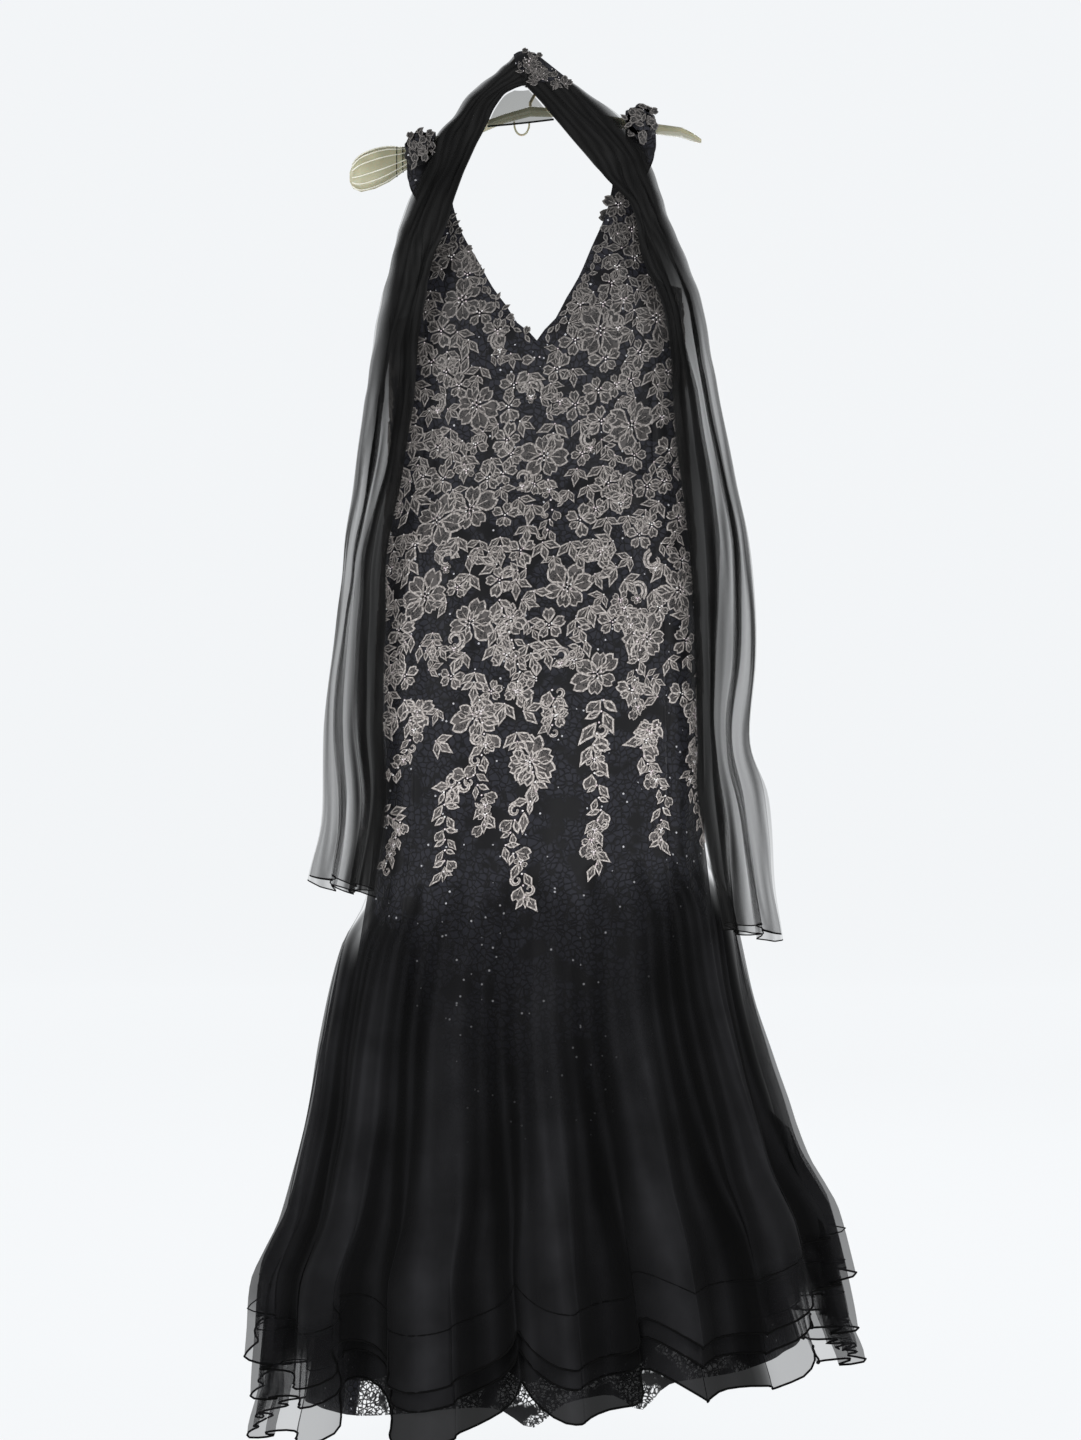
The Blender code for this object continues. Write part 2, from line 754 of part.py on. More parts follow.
def hanger_loop(look):
    """The small loop moulded under the hanger's crown."""
    crown = read(MIDDLE, HANGER_CROWN_DROP, 1)
    low_end = crown - LOOP_FROM_CROWN - LOOP_HALF_WIDTH
    top = LEAN * low_end - hanger_drop(low_end - crown) - HANGER_CROWN[0] / 2 - 2 * SEAM_GAP
    points = []
    for i in range(11):
        turn = math.pi * i / 10
        x = crown - LOOP_FROM_CROWN - LOOP_HALF_WIDTH * math.cos(turn)
        points.append(Vector((x, 0, top - LOOP_DEPTH * math.sin(turn) ** 0.8)) * MM)
    return wire("hanger_loop", points, LOOP_WIRE, look, sides=6)


def stole_point(table, place, u):
    """A point of the stole: place counts rows down a band, u runs from the ridge to the inner edge.

    A negative u is the narrow turned edge behind the ridge.
    """
    rows = [(i, *row) for i, row in enumerate(table)]
    ridge = Vector((read(rows, place, 1), read(rows, place, 5), read(rows, place, 2)))
    inner = Vector((read(rows, place, 3), read(rows, place, 6), read(rows, place, 4)))
    turn, pleat = read(rows, place, 7), read(rows, place, 8)
    if u < 0:
        back = ridge + (inner - ridge) * STOLE_TURNED_SHARE + Vector((0, turn, 0))
        share = 1 - (1 + u) ** 3
        point = ridge.lerp(back, -u)
        point.y = ridge.y + (back.y - ridge.y) * share
    else:
        point = ridge.lerp(inner, u)
        share = 1 - (1 - u) ** 3
        point.y = ridge.y + (inner.y - ridge.y) * share
        point.y -= pleat * (0.5 - 0.5 * math.cos(2 * math.pi * STOLE_PLEATS * u)) * min(1, 6 * u)
    return point * MM


def stole_normal(table, place, u):
    """The side of the stole that shows: forwards, and outwards and back where its edge is turned."""
    last = len(table) - 1
    near, far = max(place - 0.05, 0), min(place + 0.05, last)
    along = stole_point(table, far, u) - stole_point(table, near, u)
    low, high = max(u - 0.02, -1), min(u + 0.02, 1)
    across = stole_point(table, place, high) - stole_point(table, place, low)
    normal = along.cross(across).normalized()
    return normal if table is STOLE_LEFT else -normal


def stole_band(name, table, look):
    """One side of the stole, from over the hook to its hem, in lengthwise pleats."""
    uses = [-1 + i / STOLE_BACK_COLUMNS for i in range(STOLE_BACK_COLUMNS)]
    uses += [i / STOLE_FRONT_COLUMNS for i in range(STOLE_FRONT_COLUMNS + 1)]
    outer, inner = [], []
    for place in range(len(table)):
        show, hide = [], []
        for u in uses:
            point, normal = stole_point(table, place, u), stole_normal(table, place, u)
            if place == 0:
                normal = Vector((0, normal.y, normal.z)).normalized()
            show.append(point + normal * NET_WALL / 2 * MM)
            hide.append(point - normal * NET_WALL / 2 * MM)
        outer.append(show)
        inner.append(hide)
    bm = bmesh.new()
    close_grid(bm, vertices(bm, outer), vertices(bm, inner))
    return finish(name, bm, look)


def stole_lace(look):
    """The piece of the gown's lace on the middle of the stole, with its pointed lower edge."""
    outer, inner = [], []
    clear = NET_WALL / 2 + 2 * SEAM_GAP
    for place, reach in STOLE_LACE:
        table = STOLE_LEFT if place < 0 else STOLE_RIGHT
        show, hide = [], []
        for i in range(STOLE_LACE_ROWS + 1):
            u = STOLE_LACE_EDGE + (reach - STOLE_LACE_EDGE) * i / STOLE_LACE_ROWS
            point, normal = stole_point(table, abs(place), u), stole_normal(table, abs(place), u)
            show.append(point + normal * (clear + STOLE_LACE_WALL) * MM)
            hide.append(point + normal * clear * MM)
        outer.append(show)
        inner.append(hide)
    bm = bmesh.new()
    close_grid(bm, vertices(bm, outer), vertices(bm, inner))
    return finish("stole_lace", bm, look)


def stole_veil(look):
    """The single layer of net between the bands, its lower edge bound."""
    outer, inner = [], []
    for left_x, left_z, right_x, right_z, left_y, right_y in VEIL:
        show, hide = [], []
        for i in range(VEIL_COLUMNS + 1):
            u = i / VEIL_COLUMNS
            left, right = Vector((left_x, left_y, left_z)), Vector((right_x, right_y, right_z))
            point = left.lerp(right, u)
            point.y += VEIL_BELLY * math.sin(math.pi * u)
            show.append((point - Vector((0, NET_WALL / 2, 0))) * MM)
            hide.append((point + Vector((0, NET_WALL / 2, 0))) * MM)
        outer.append(show)
        inner.append(hide)
    bm = bmesh.new()
    close_grid(bm, vertices(bm, outer), vertices(bm, inner))
    return finish("stole_veil", bm, look)


def build():
    for old in list(bpy.data.objects):
        bpy.data.objects.remove(old)
    lace = material("corded_lace", (0.10, 0.09, 0.085), 0.6)
    tulle = material("black_tulle", (0.006, 0.006, 0.007), 0.8)
    net = material("black_net", (0.008, 0.008, 0.009), 0.75)
    plastic = material("cream_plastic", (0.58, 0.53, 0.36), 0.35)
    metal = material("hook_metal", (0.60, 0.50, 0.30), 0.3, 1.0)

    front_centre(lace)
    for word, side in (("left", -1), ("right", 1)):
        side_panel(f"front_side_{word}", side, False, lace)
        side_panel(f"back_side_{word}", side, True, lace)
        back_centre(f"back_centre_{word}", side, lace)
    strap("strap_left", -1, STRAP_LEFT, lace)
    strap("strap_right", 1, STRAP_RIGHT, lace)
    for tier in TIERS:
        for half in ("front", "back"):
            tulle_panel(tier, half, tulle)
    stole_band("stole_left", STOLE_LEFT, net)
    stole_band("stole_right", STOLE_RIGHT, net)
    stole_veil(net)
    stole_lace(lace)
    hanger(plastic)
    hanger_loop(plastic)
    hook(metal)


build()
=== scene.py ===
# %% [markdown]
# # A trumpet gown of corded lace on its hanger
#
# The gown hangs by its two shoulder straps from a ribbed plastic hanger. Its sheath is black lace
# over a navy lining, with taupe flowers of cord and beads sewn on it. From the thighs down it opens
# into three tiers of black tulle, and a stole of black net hangs over the hook and down both sides.
# Cloth could be simulated, but a gown on a hanger is all long falling folds with known places, so
# here every sheet is a grid that is laid on the gown's measured lines and folded.

# %% Load the imported model
import math
import random

import bmesh
import bpy
from mathutils import Matrix, Vector


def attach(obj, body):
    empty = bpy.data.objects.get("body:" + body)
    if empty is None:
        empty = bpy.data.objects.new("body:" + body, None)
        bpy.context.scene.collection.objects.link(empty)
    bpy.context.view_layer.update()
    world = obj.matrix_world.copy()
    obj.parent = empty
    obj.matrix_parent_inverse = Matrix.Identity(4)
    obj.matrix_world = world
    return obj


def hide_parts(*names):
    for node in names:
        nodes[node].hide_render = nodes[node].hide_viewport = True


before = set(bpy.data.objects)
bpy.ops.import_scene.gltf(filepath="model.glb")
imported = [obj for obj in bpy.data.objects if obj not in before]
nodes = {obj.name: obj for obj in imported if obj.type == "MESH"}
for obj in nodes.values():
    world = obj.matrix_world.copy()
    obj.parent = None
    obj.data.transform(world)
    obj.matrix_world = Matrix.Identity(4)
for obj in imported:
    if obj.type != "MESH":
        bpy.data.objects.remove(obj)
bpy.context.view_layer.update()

# %% [markdown]
# ## The camera
#
# The photograph is taken from about three and a half metres, level with the gown's hips. A long
# lens far away would flatten the skirt. This distance shows the front hem a little lower than the
# back one, as in the photograph, so it is kept and the lens is chosen to fill the frame.

# %% Place the camera
# Millimetres of gown for each step of the photograph, and where the hook's seat is in it.
STEP = 1.18
SEAT = (526, 57)
MM = 0.001
CAMERA_BACK = 3.4


def on_gown_plane(across, down):
    """A place in the photograph as a point of the upright plane through the hook, in metres."""
    return Vector(((across - SEAT[0]) * STEP * MM, 0, -(down - SEAT[1]) * STEP * MM))


camera = bpy.data.objects.new("camera", bpy.data.cameras.new("camera"))
bpy.context.scene.collection.objects.link(camera)
bpy.context.scene.camera = camera
camera.location = on_gown_plane(540.5, 720) + Vector((0, -CAMERA_BACK, 0))
camera.rotation_euler = (math.radians(90), 0, 0)
camera.data.sensor_fit = "VERTICAL"
camera.data.sensor_height = 36
camera.data.sensor_width = 36
camera.data.lens = 36 / (1440 * STEP * MM / CAMERA_BACK)
print("camera at", [round(c, 3) for c in camera.location], "lens", round(camera.data.lens, 1))

# %% [markdown]
# ## Floor, backdrop and light
#
# Black cloth shows its form only by the soft light that its folds catch, so large soft lamps stand
# at both sides and in front. The floor sweeps up into the backdrop in one curve, made by spinning
# an edge a quarter turn, so no line crosses behind the sheer net.

# %% Build the sweep and the lights
FLOOR = -1.66


def pale_paper():
    made = bpy.data.materials.new("pale paper")
    made.use_nodes = True
    tree = made.node_tree
    shader = tree.nodes["Principled BSDF"]
    grain = tree.nodes.new("ShaderNodeTexNoise")
    grain.inputs["Scale"].default_value = 3
    shade = tree.nodes.new("ShaderNodeValToRGB")
    shade.color_ramp.elements[0].color = (0.030, 0.031, 0.032, 1)
    shade.color_ramp.elements[1].color = (0.040, 0.041, 0.042, 1)
    tree.links.new(grain.outputs["Fac"], shade.inputs["Fac"])
    tree.links.new(shade.outputs["Color"], shader.inputs["Base Color"])
    shader.inputs["Roughness"].default_value = 0.95
    shader.inputs["Specular IOR Level"].default_value = 0.1
    shader.inputs["Emission Color"].default_value = (0.872, 0.890, 0.907, 1)
    shader.inputs["Emission Strength"].default_value = 1.0
    return made


def pushed_out(bm, edge, move):
    """Extrudes an edge by a move and returns the new edge."""
    grown = bmesh.ops.extrude_edge_only(bm, edges=[edge])["geom"]
    bmesh.ops.translate(bm, verts=[v for v in grown if isinstance(v, bmesh.types.BMVert)], vec=move)
    return next(e for e in grown if isinstance(e, bmesh.types.BMEdge))


def sweep():
    """A floor that curves up into the backdrop."""
    bm = bmesh.new()
    low = [bm.verts.new((-9, -8, FLOOR)), bm.verts.new((9, -8, FLOOR))]
    edge = pushed_out(bm, bm.edges.new(low), (0, 14, 0))
    turned = bmesh.ops.spin(
        bm, geom=[edge, *edge.verts], cent=(0, 6, FLOOR + 2), axis=(1, 0, 0), angle=math.pi / 2, steps=16
    )["geom_last"]
    pushed_out(bm, next(e for e in turned if isinstance(e, bmesh.types.BMEdge)), (0, 0, 4))
    mesh = bpy.data.meshes.new("sweep")
    bm.to_mesh(mesh)
    bm.free()
    mesh.shade_smooth()
    mesh.materials.append(pale_paper())
    made = bpy.data.objects.new("sweep", mesh)
    bpy.context.scene.collection.objects.link(made)


def soft_lamp(name, place, aim, size, power):
    lamp = bpy.data.lights.new(name, "AREA")
    lamp.shape = "RECTANGLE"
    lamp.size, lamp.size_y = size
    lamp.energy = power
    made = bpy.data.objects.new(name, lamp)
    made.location = place
    made.rotation_euler = (Vector(aim) - Vector(place)).to_track_quat("-Z", "Y").to_euler()
    bpy.context.scene.collection.objects.link(made)


sweep()
soft_lamp("front lamp", (0.5, -3.0, -1.1), (0, 0, -0.95), (1.0, 1.0), 40)
soft_lamp("left lamp", (-2.3, -1.4, 0.2), (0, 0, -0.8), (0.7, 2.0), 44)
soft_lamp("right lamp", (2.5, -1.1, 0.1), (0, 0, -0.9), (0.7, 2.0), 36)
soft_lamp("back lamp", (0.5, 2.6, 0.6), (0, 0, -0.8), (1.6, 2.0), 40)

world = bpy.data.worlds.new("studio air")
bpy.context.scene.world = world
world.use_nodes = True
world.node_tree.nodes["Background"].inputs["Color"].default_value = (0.93, 0.95, 0.97, 1)
world.node_tree.nodes["Background"].inputs["Strength"].default_value = 0.35
bpy.context.scene.view_settings.view_transform = "Standard"
bpy.context.scene.cycles.transparent_max_bounces = 48
print("floor at", FLOOR)

# %% [markdown]
# ## The gown's lines
#
# A dressmaker measures a gown as a girth at each height. These tables are those measures in
# millimetres: where the middle line hangs, and half of the width and depth at each drop below the
# hook. A smooth curve is read between the rows, so a grid of any fineness can be laid on it.

# %% Measures of the sheath
# The gown hangs a little askew: how much a level line of it rises for each millimetre to the right.
LEAN = 0.12
SEAM_GAP = 0.3
PRINCESS = math.radians(50)
SIDE = math.radians(90)
CENTRE_BACK = math.radians(180)
STRAP_SEAM = 173
SHEATH_END = 936
LACE_HEM = 1555
LACE_WALL = 2.0
TULLE_WALL = 1.2
# Drop, and how far to the right of the hook the middle line hangs.
MIDDLE = (
    (60, 5),
    (173, 8),
    (296, 12),
    (464, 14),
    (759, 15),
    (877, 16),
    (957, 13),
    (1121, 10),
    (1217, 15),
    (1332, 19),
    (1396, 20),
    (1455, 25),
    (1575, 33),
)

# Drop, half width, half depth and height of the folds.
LACE = (
    (110, 170, 26, 0),
    (173, 170, 40, 0),
    (234, 170, 56, 0),
    (296, 171, 72, 0),
    (342, 172, 76, 0),
    (405, 173, 70, 0),
    (464, 175, 58, 0),
    (511, 178, 52, 0),
    (594, 184, 70, 0),
    (664, 188, 82, 0),
    (759, 191, 88, 0),
    (877, 193, 92, 0),
    (936, 195, 95, 0),
    (995, 202, 99, 2),
    (1113, 217, 105, 4),
    (1231, 231, 108, 5),
    (1349, 246, 112, 6),
    (1467, 268, 128, 7),
    (1555, 290, 146, 8),
)

# Edges of the neck: drop and distance from the middle. Armhole: degrees round the gown and drop.
NECK = ((173, 92.6), (205, 83.8), (243, 65.5), (277, 49.6), (305, 31.9), (323, 22), (342, 0))
BACK_NECK = ((173, 94), (219, 80), (268, 64), (316, 44), (342, 32), (370, 14), (388, 0))
ARMHOLE = ((50, 268), (58, 290), (68, 295), (80, 296), (90, 296))
# Upright creases: degrees round the gown, half width in degrees and depth.
CREASES = ((-44, 6, 7), (43, 6, 7), (-143, 8, 6), (138, 8, 6))
CREASE_FROM, CREASE_DEEP, CREASE_TO = 300, 480, 960


def smooth_step(value):
    t = min(max(value, 0.0), 1.0)
    return t * t * (3 - 2 * t)


def read(table, place, column):
    """Reads a column of a table between its rows, on a smooth curve through them."""
    last = len(table) - 1
    if place <= table[0][0]:
        return table[0][column]
    if place >= table[last][0]:
        return table[last][column]
    row = next(i for i in range(last) if place <= table[i + 1][0])
    before, after = table[max(row - 1, 0)], table[min(row + 2, last)]
    low, high = table[row], table[row + 1]
    step = high[0] - low[0]
    t = (place - low[0]) / step
    slope_low = (high[column] - before[column]) / (high[0] - before[0]) * step
    slope_high = (after[column] - low[column]) / (after[0] - low[0]) * step
    return (
        (2 * t**3 - 3 * t**2 + 1) * low[column]
        + (t**3 - 2 * t**2 + t) * slope_low
        + (3 * t**2 - 2 * t**3) * high[column]
        + (t**3 - t**2) * slope_high
    )


def read_point(table, place, *columns):
    """Reads three columns of a table as a point."""
    return Vector(read(table, place, column) for column in columns)


def nearest_turn(angle):
    """The same angle, between half a turn either way."""
    return (angle + math.pi) % (2 * math.pi) - math.pi


print("half width at the hips:", round(read(LACE, 759, 1)), "mm")

# %% [markdown]
# The sheath is an oval at each height. Two pairs of soft upright creases run beside the princess
# seams, and the lining pulls small cross wrinkles at the waist, which the fine grid adds.

# %% Surface of the sheath and underskirt


def lace_fold(angle):
    """The underskirt's few broad folds."""
    return math.cos(7 * angle + 0.6 * math.sin(2 * angle))


def crease(angle, drop):
    """How deep the sheath's upright creases are here."""
    if drop < CREASE_DEEP:
        strength = smooth_step((drop - CREASE_FROM) / (CREASE_DEEP - CREASE_FROM))
    else:
        strength = smooth_step((CREASE_TO - drop) / (CREASE_TO - CREASE_DEEP))
    depth = 0.0
    for middle, half, deep in CREASES:
        away = math.degrees(nearest_turn(angle - math.radians(middle))) / half
        depth += deep * math.exp(-away * away)
    return depth * strength


def round_the_gown(drop, angle, half_width, half_depth, out):
    """A point of an oval round the gown, moved out by some millimetres, in metres."""
    across, deep = half_width * math.sin(angle), -half_depth * math.cos(angle)
    normal = Vector((math.sin(angle) / half_width, -math.cos(angle) / half_depth)).normalized()
    x = read(MIDDLE, drop, 1) + across + normal.x * out
    y = deep + normal.y * out
    return Vector((x, y, LEAN * x - drop)) * MM


def wrinkle(angle, drop):
    """Small soft wrinkles of the lined lace, in millimetres."""
    cross = math.sin(drop / 17 + 1.6 * math.sin(3 * angle)) * math.exp(-(((drop - 520) / 130) ** 2))
    upright = math.sin(19 * angle + 1.3 * math.sin(drop / 70)) * smooth_step((drop - 380) / 200)
    return 0.7 * cross + 0.9 * upright


def lace_point(drop, angle, out=0.0):
    """A point of the lace sheath and underskirt."""
    fold = read(LACE, drop, 3) * lace_fold(angle) - crease(angle, drop) + wrinkle(angle, drop)
    return round_the_gown(drop, angle, read(LACE, drop, 1), read(LACE, drop, 2), fold + out)


def neck_angle(table, drop):
    """The angle at which a neck edge lies at this drop, 0 below the point of the V."""
    if drop >= table[-1][0]:
        return 0.0
    return math.asin(max(read(table, drop, 1), 0.0) / read(LACE, drop, 1))


print("centre front of the hips at", [round(c, 3) for c in lace_point(759, 0)])

# %% [markdown]
# ## Sewing a grid
#
# Every cloth piece starts as a flat grid from create_grid and each of its points is then laid on a
# surface. The grid keeps its flat coordinates as a UV map, so weave and shading can follow the cut
# of the cloth. Faces are turned so that they point out of the gown.

# %% Helper that lays a grid on a surface


def sew_grid(bm, columns, rows, place, outward=True):
    """Adds a grid whose point (u, v), both from 0 to 1, lies at place(u, v). v runs downwards."""
    flat = bm.loops.layers.uv.get("cut") or bm.loops.layers.uv.new("cut")
    made = bmesh.ops.create_grid(bm, x_segments=columns, y_segments=rows, size=0.5)["verts"]
    faces = list({face for vert in made for face in vert.link_faces})
    for face in faces:
        for loop in face.loops:
            loop[flat].uv = (loop.vert.co.x + 0.5, loop.vert.co.y + 0.5)
    for vert in made:
        vert.co = place(vert.co.x + 0.5, vert.co.y + 0.5)
    if outward:
        bmesh.ops.reverse_faces(bm, faces=faces)
    return made


def finished(name, bm, looks, slot, *stands_for, merge=1e-6):
    """Makes an object of a bmesh, with its materials, its place on the body and what it replaces."""
    bmesh.ops.remove_doubles(bm, verts=bm.verts, dist=merge)
    mesh = bpy.data.meshes.new(name)
    bm.to_mesh(mesh)
    bm.free()
    mesh.shade_smooth()
    for look in looks:
        mesh.materials.append(look)
    made = bpy.data.objects.new(name, mesh)
    bpy.context.scene.collection.objects.link(made)
    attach(made, "root")
    if stands_for:
        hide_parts(*stands_for)
    print(name, "faces", len(mesh.polygons), "area", round(sum(p.area for p in mesh.polygons), 3), "m2")
    return made


LINED_CLOTH = 1.2


def lined(piece):
    """Gives a sheet its thickness, inwards from the side that shows."""
    wall = piece.modifiers.new("thickness", "SOLIDIFY")
    wall.thickness = LINED_CLOTH * MM
    wall.offset = -1
    return piece


print("ready to sew")

# %% [markdown]
# ## Shared effects: lace net, weave and glints
#
# Three effects come back in several cloths, so each is one node group. The lace net is a Voronoi
# crackle, bent by noise, which gives irregular meshes like a machine lace. The weave is a slow
# ripple, as fine net shows where its layers cross. The glints are a few Voronoi cells picked at
# random and painted lighter, a painted highlight for the tiny sequins that are scattered on the tulle.

# %% Build the node groups


def feed(tree, sockets, inputs):
    """Gives each named input a value, or links it to another node's output."""
    for name, value in inputs.items():
        if isinstance(value, bpy.types.NodeSocket):
            tree.links.new(value, sockets[name])
        else:
            sockets[name].default_value = value


def node(tree, kind, inputs, result, **settings):
    """Adds a node with its settings and inputs, and returns one of its outputs."""
    made = tree.nodes.new(kind)
    for name, value in settings.items():
        setattr(made, name, value)
    feed(tree, made.inputs, inputs)
    return made.outputs[result]


def object_place(tree):
    return node(tree, "ShaderNodeTexCoord", {}, "Object")


def cloud(tree, scale, detail=2, result="Fac"):
    """Soft noise, fixed to the object."""
    inputs = {"Vector": object_place(tree), "Scale": scale, "Detail": detail}
    return node(tree, "ShaderNodeTexNoise", inputs, result)


def spread(tree, value, low, high, to_low=0, to_high=1):
    """Maps a value from one range to another and keeps it there."""
    inputs = {"Value": value, "From Min": low, "From Max": high, "To Min": to_low, "To Max": to_high}
    return node(tree, "ShaderNodeMapRange", inputs, "Result")


def maths(tree, operation, first, second):
    return node(tree, "ShaderNodeMath", {0: first, 1: second}, "Value", operation=operation)


def new_group(name, values, results):
    """An empty node group of numbers: the group, what it is given and what it returns."""
    group = bpy.data.node_groups.new(name, "ShaderNodeTree")
    for label, value in values.items():
        socket = group.interface.new_socket(label, in_out="INPUT", socket_type="NodeSocketFloat")
        socket.default_value = value
    for label in results:
        group.interface.new_socket(label, in_out="OUTPUT", socket_type="NodeSocketFloat")
    return group, group.nodes.new("NodeGroupInput").outputs, group.nodes.new("NodeGroupOutput").inputs


def lace_net_group():
    """Threads is 1 on the lace's threads and flowers and 0 in its meshes."""
    tree, given, result = new_group("lace net", {"Meshes": 260, "Flowers": 22}, ["Threads"])
    bend = {"Factor": 0.012, "A": object_place(tree), "B": cloud(tree, 60, result="Color")}
    bent = node(tree, "ShaderNodeMix", bend, "Result", data_type="VECTOR")
    cells = {"Vector": bent, "Scale": given["Meshes"]}
    crackle = node(tree, "ShaderNodeTexVoronoi", cells, "Distance", feature="DISTANCE_TO_EDGE")
    threads = spread(tree, crackle, 0.16, 0.04)
    flowers = spread(tree, cloud(tree, given["Flowers"], 3), 0.54, 0.60)
    feed(tree, result, {"Threads": maths(tree, "MAXIMUM", threads, flowers)})
    return tree


def ripple_group():
    """Ripple runs from 0 to 1 in slow uneven bands across the cloth, Mottle in soft clouds."""
    tree, given, result = new_group("net ripple", {"Bands": 30, "Bend": 3}, ["Ripple", "Mottle"])
    bands = {"Scale": given["Bands"], "Distortion": given["Bend"], "Detail": 1, "Detail Scale": 2}
    bands["Vector"] = object_place(tree)
    ripple = node(tree, "ShaderNodeTexWave", bands, "Fac", wave_type="BANDS", bands_direction="Z")
    feed(tree, result, {"Ripple": ripple, "Mottle": cloud(tree, 14, 4)})
    return tree


def glint_group():
    """Glint is 1 on a few small specks, which get a painted highlight."""
    tree, given, result = new_group("glints", {"Specks": 300, "Share": 0.03}, ["Glint"])
    cells = tree.nodes.new("ShaderNodeTexVoronoi")
    feed(tree, cells.inputs, {"Vector": object_place(tree), "Scale": given["Specks"]})
    chosen = node(tree, "ShaderNodeSeparateColor", {"Color": cells.outputs["Color"]}, "Red")
    few = maths(tree, "LESS_THAN", chosen, given["Share"])
    small = maths(tree, "LESS_THAN", cells.outputs["Distance"], 0.3)
    feed(tree, result, {"Glint": maths(tree, "MULTIPLY", few, small)})
    return tree


LACE_NET, NET_RIPPLE, GLINTS = lace_net_group(), ripple_group(), glint_group()
print("groups:", [g.name for g in bpy.data.node_groups])

# %% [markdown]
# ## Cloth materials
#
# Each cloth gets a material that mixes two close colours by a shared effect, because one flat
# black looks like paint. The black lace shines a little more than the navy lining that shows in
# its meshes. The tulle and the stole are see-through: their alpha is the share of threads, lower
# near the stiff hem bands and higher where the net is bunched.

# %% Build the cloth materials


def shared(tree, group, result, **values):
    """One output of a shared effect, with the effect's inputs set."""
    return node(tree, "ShaderNodeGroup", values, result, node_tree=group)


def mixed(tree, low, high, factor, **settings):
    """Two colours, or outputs that give colours, mixed by a factor."""
    low, high = ((*c, 1) if isinstance(c, tuple) else c for c in (low, high))
    inputs = {"Factor": factor, "A": low, "B": high}
    return node(tree, "ShaderNodeMix", inputs, "Result", data_type="RGBA", **settings)


def bump(tree, height, strength, distance):
    inputs = {"Height": height, "Strength": strength, "Distance": distance}
    return node(tree, "ShaderNodeBump", inputs, "Normal")


def new_look(name, roughness, sheen=0.0, specular=0.15):
    """A new material, its tree and the inputs of its shader."""
    made = bpy.data.materials.new(name)
    made.use_nodes = True
    shader = made.node_tree.nodes["Principled BSDF"].inputs
    values = {"Roughness": roughness, "Sheen Weight": sheen, "Sheen Roughness": 0.5}
    feed(made.node_tree, shader, {**values, "Specular IOR Level": specular})
    return made, made.node_tree, shader


def black_lace(name, lining, thread, meshes, holes=False):
    """Black lace over a lining, or over nothing where it has holes."""
    made, tree, shader = new_look(name, 0.55, sheen=0.08)
    threads = shared(tree, LACE_NET, "Threads", Meshes=meshes, Flowers=26)
    glint = shared(tree, GLINTS, "Glint", Specks=240, Share=0.03)
    # Specks of lighter grey: painted highlights of the sequins.
    colour = mixed(tree, mixed(tree, lining, thread, threads), (0.40, 0.40, 0.42), glint)
    feed(tree, shader, {"Base Color": colour, "Normal": bump(tree, threads, 0.7, 0.0006)})
    if holes:
        feed(tree, shader, {"Alpha": threads})
    return made


def sheer(name, roughness, low, high, attribute, sheen):
    """Black net. Its alpha is a value kept on the cloth, and its colour is lightened along the folds by a
    painted sheen kept on the cloth too.
    """
    made, tree, shader = new_look(name, roughness, sheen=sheen, specular=0.06)
    mottle = shared(tree, NET_RIPPLE, "Mottle", Bands=90, Bend=4)
    fold, kept = (
        node(tree, "ShaderNodeAttribute", {}, "Fac", attribute_name=value) for value in ("fold", attribute)
    )
    # The fold value lightens the colour: a painted sheen on crests and streaks.
    colour = mixed(tree, low, high, maths(tree, "MULTIPLY", mottle, fold))
    feed(tree, shader, {"Base Color": colour, "Alpha": kept, "Sheen Tint": (0.5, 0.5, 0.52, 1)})
    feed(tree, shader, {"Normal": bump(tree, mottle, 0.25, 0.002)})
    return made


SHEATH_LACE = black_lace("black lace on navy lining", (0.0135, 0.0140, 0.0195), (0.002, 0.002, 0.003), 140)
HEM_LACE = black_lace("black lace of the hem", (0.01, 0.01, 0.01), (0.008, 0.008, 0.009), 230, holes=True)
TULLE = sheer("black tulle", 0.9, (0.001, 0.001, 0.001), (0.020, 0.020, 0.022), "thick", 0.02)
NET = sheer("black stole net", 0.85, (0.002, 0.002, 0.002), (0.022, 0.022, 0.022), "bunch", 0.03)
print("cloths:", SHEATH_LACE.name, TULLE.name, NET.name)

# %% [markdown]
# ## The sheath
#
# The gown is cut in seven lengthwise panels: one at the front between the princess seams, two at
# each side and two at the back with the opening between them. Each is sewn as its own grid from
# its top edge to the hem. The front has two halves that meet below the V of the neck.

# %% Sew the front panel
SHEATH_ROWS = 120
SHOW_SIDE = LACE_WALL / 2
# Where the underskirt's lace hem peeps out below the tulle: degrees and half width. There the
# lace dips a little and the tulle is lifted.
LACE_PEEPS = ((-5, 5.0), (20, 4.5))
LACE_DIP = 26
PEEP_LIFT = 52
HEM_LACE_FROM = 0.965


def peep(angle):
    """1 in the middle of a place where the lace hem shows, 0 away from it."""
    away = [math.degrees(nearest_turn(angle - math.radians(middle))) / half for middle, half in LACE_PEEPS]
    return max(math.exp(-(share**2)) for share in away)


def half_front(side):
    """Where a point of one half of the front lies. The neck edge and the princess seam bound it."""

    def place(u, v):
        drop = STRAP_SEAM + SEAM_GAP + (LACE_HEM - STRAP_SEAM) * v
        start = neck_angle(NECK, drop)
        angle = start + (PRINCESS - start) * (u if side > 0 else 1 - u)
        drop += LACE_DIP * peep(side * angle) * smooth_step((v - 0.85) / 0.15)
        return lace_point(drop, side * angle, SHOW_SIDE)

    return place


bm = bmesh.new()
for side in (1, -1):
    sew_grid(bm, 22, SHEATH_ROWS, half_front(side))
cut = bm.loops.layers.uv["cut"]
for face in bm.faces:
    face.material_index = int(min(loop[cut].uv.y for loop in face.loops) > HEM_LACE_FROM)
front_looks = [SHEATH_LACE, HEM_LACE]
front_centre = finished("front_panel", bm, front_looks, "corded_lace", "front_centre", merge=2e-4)
lined(front_centre)

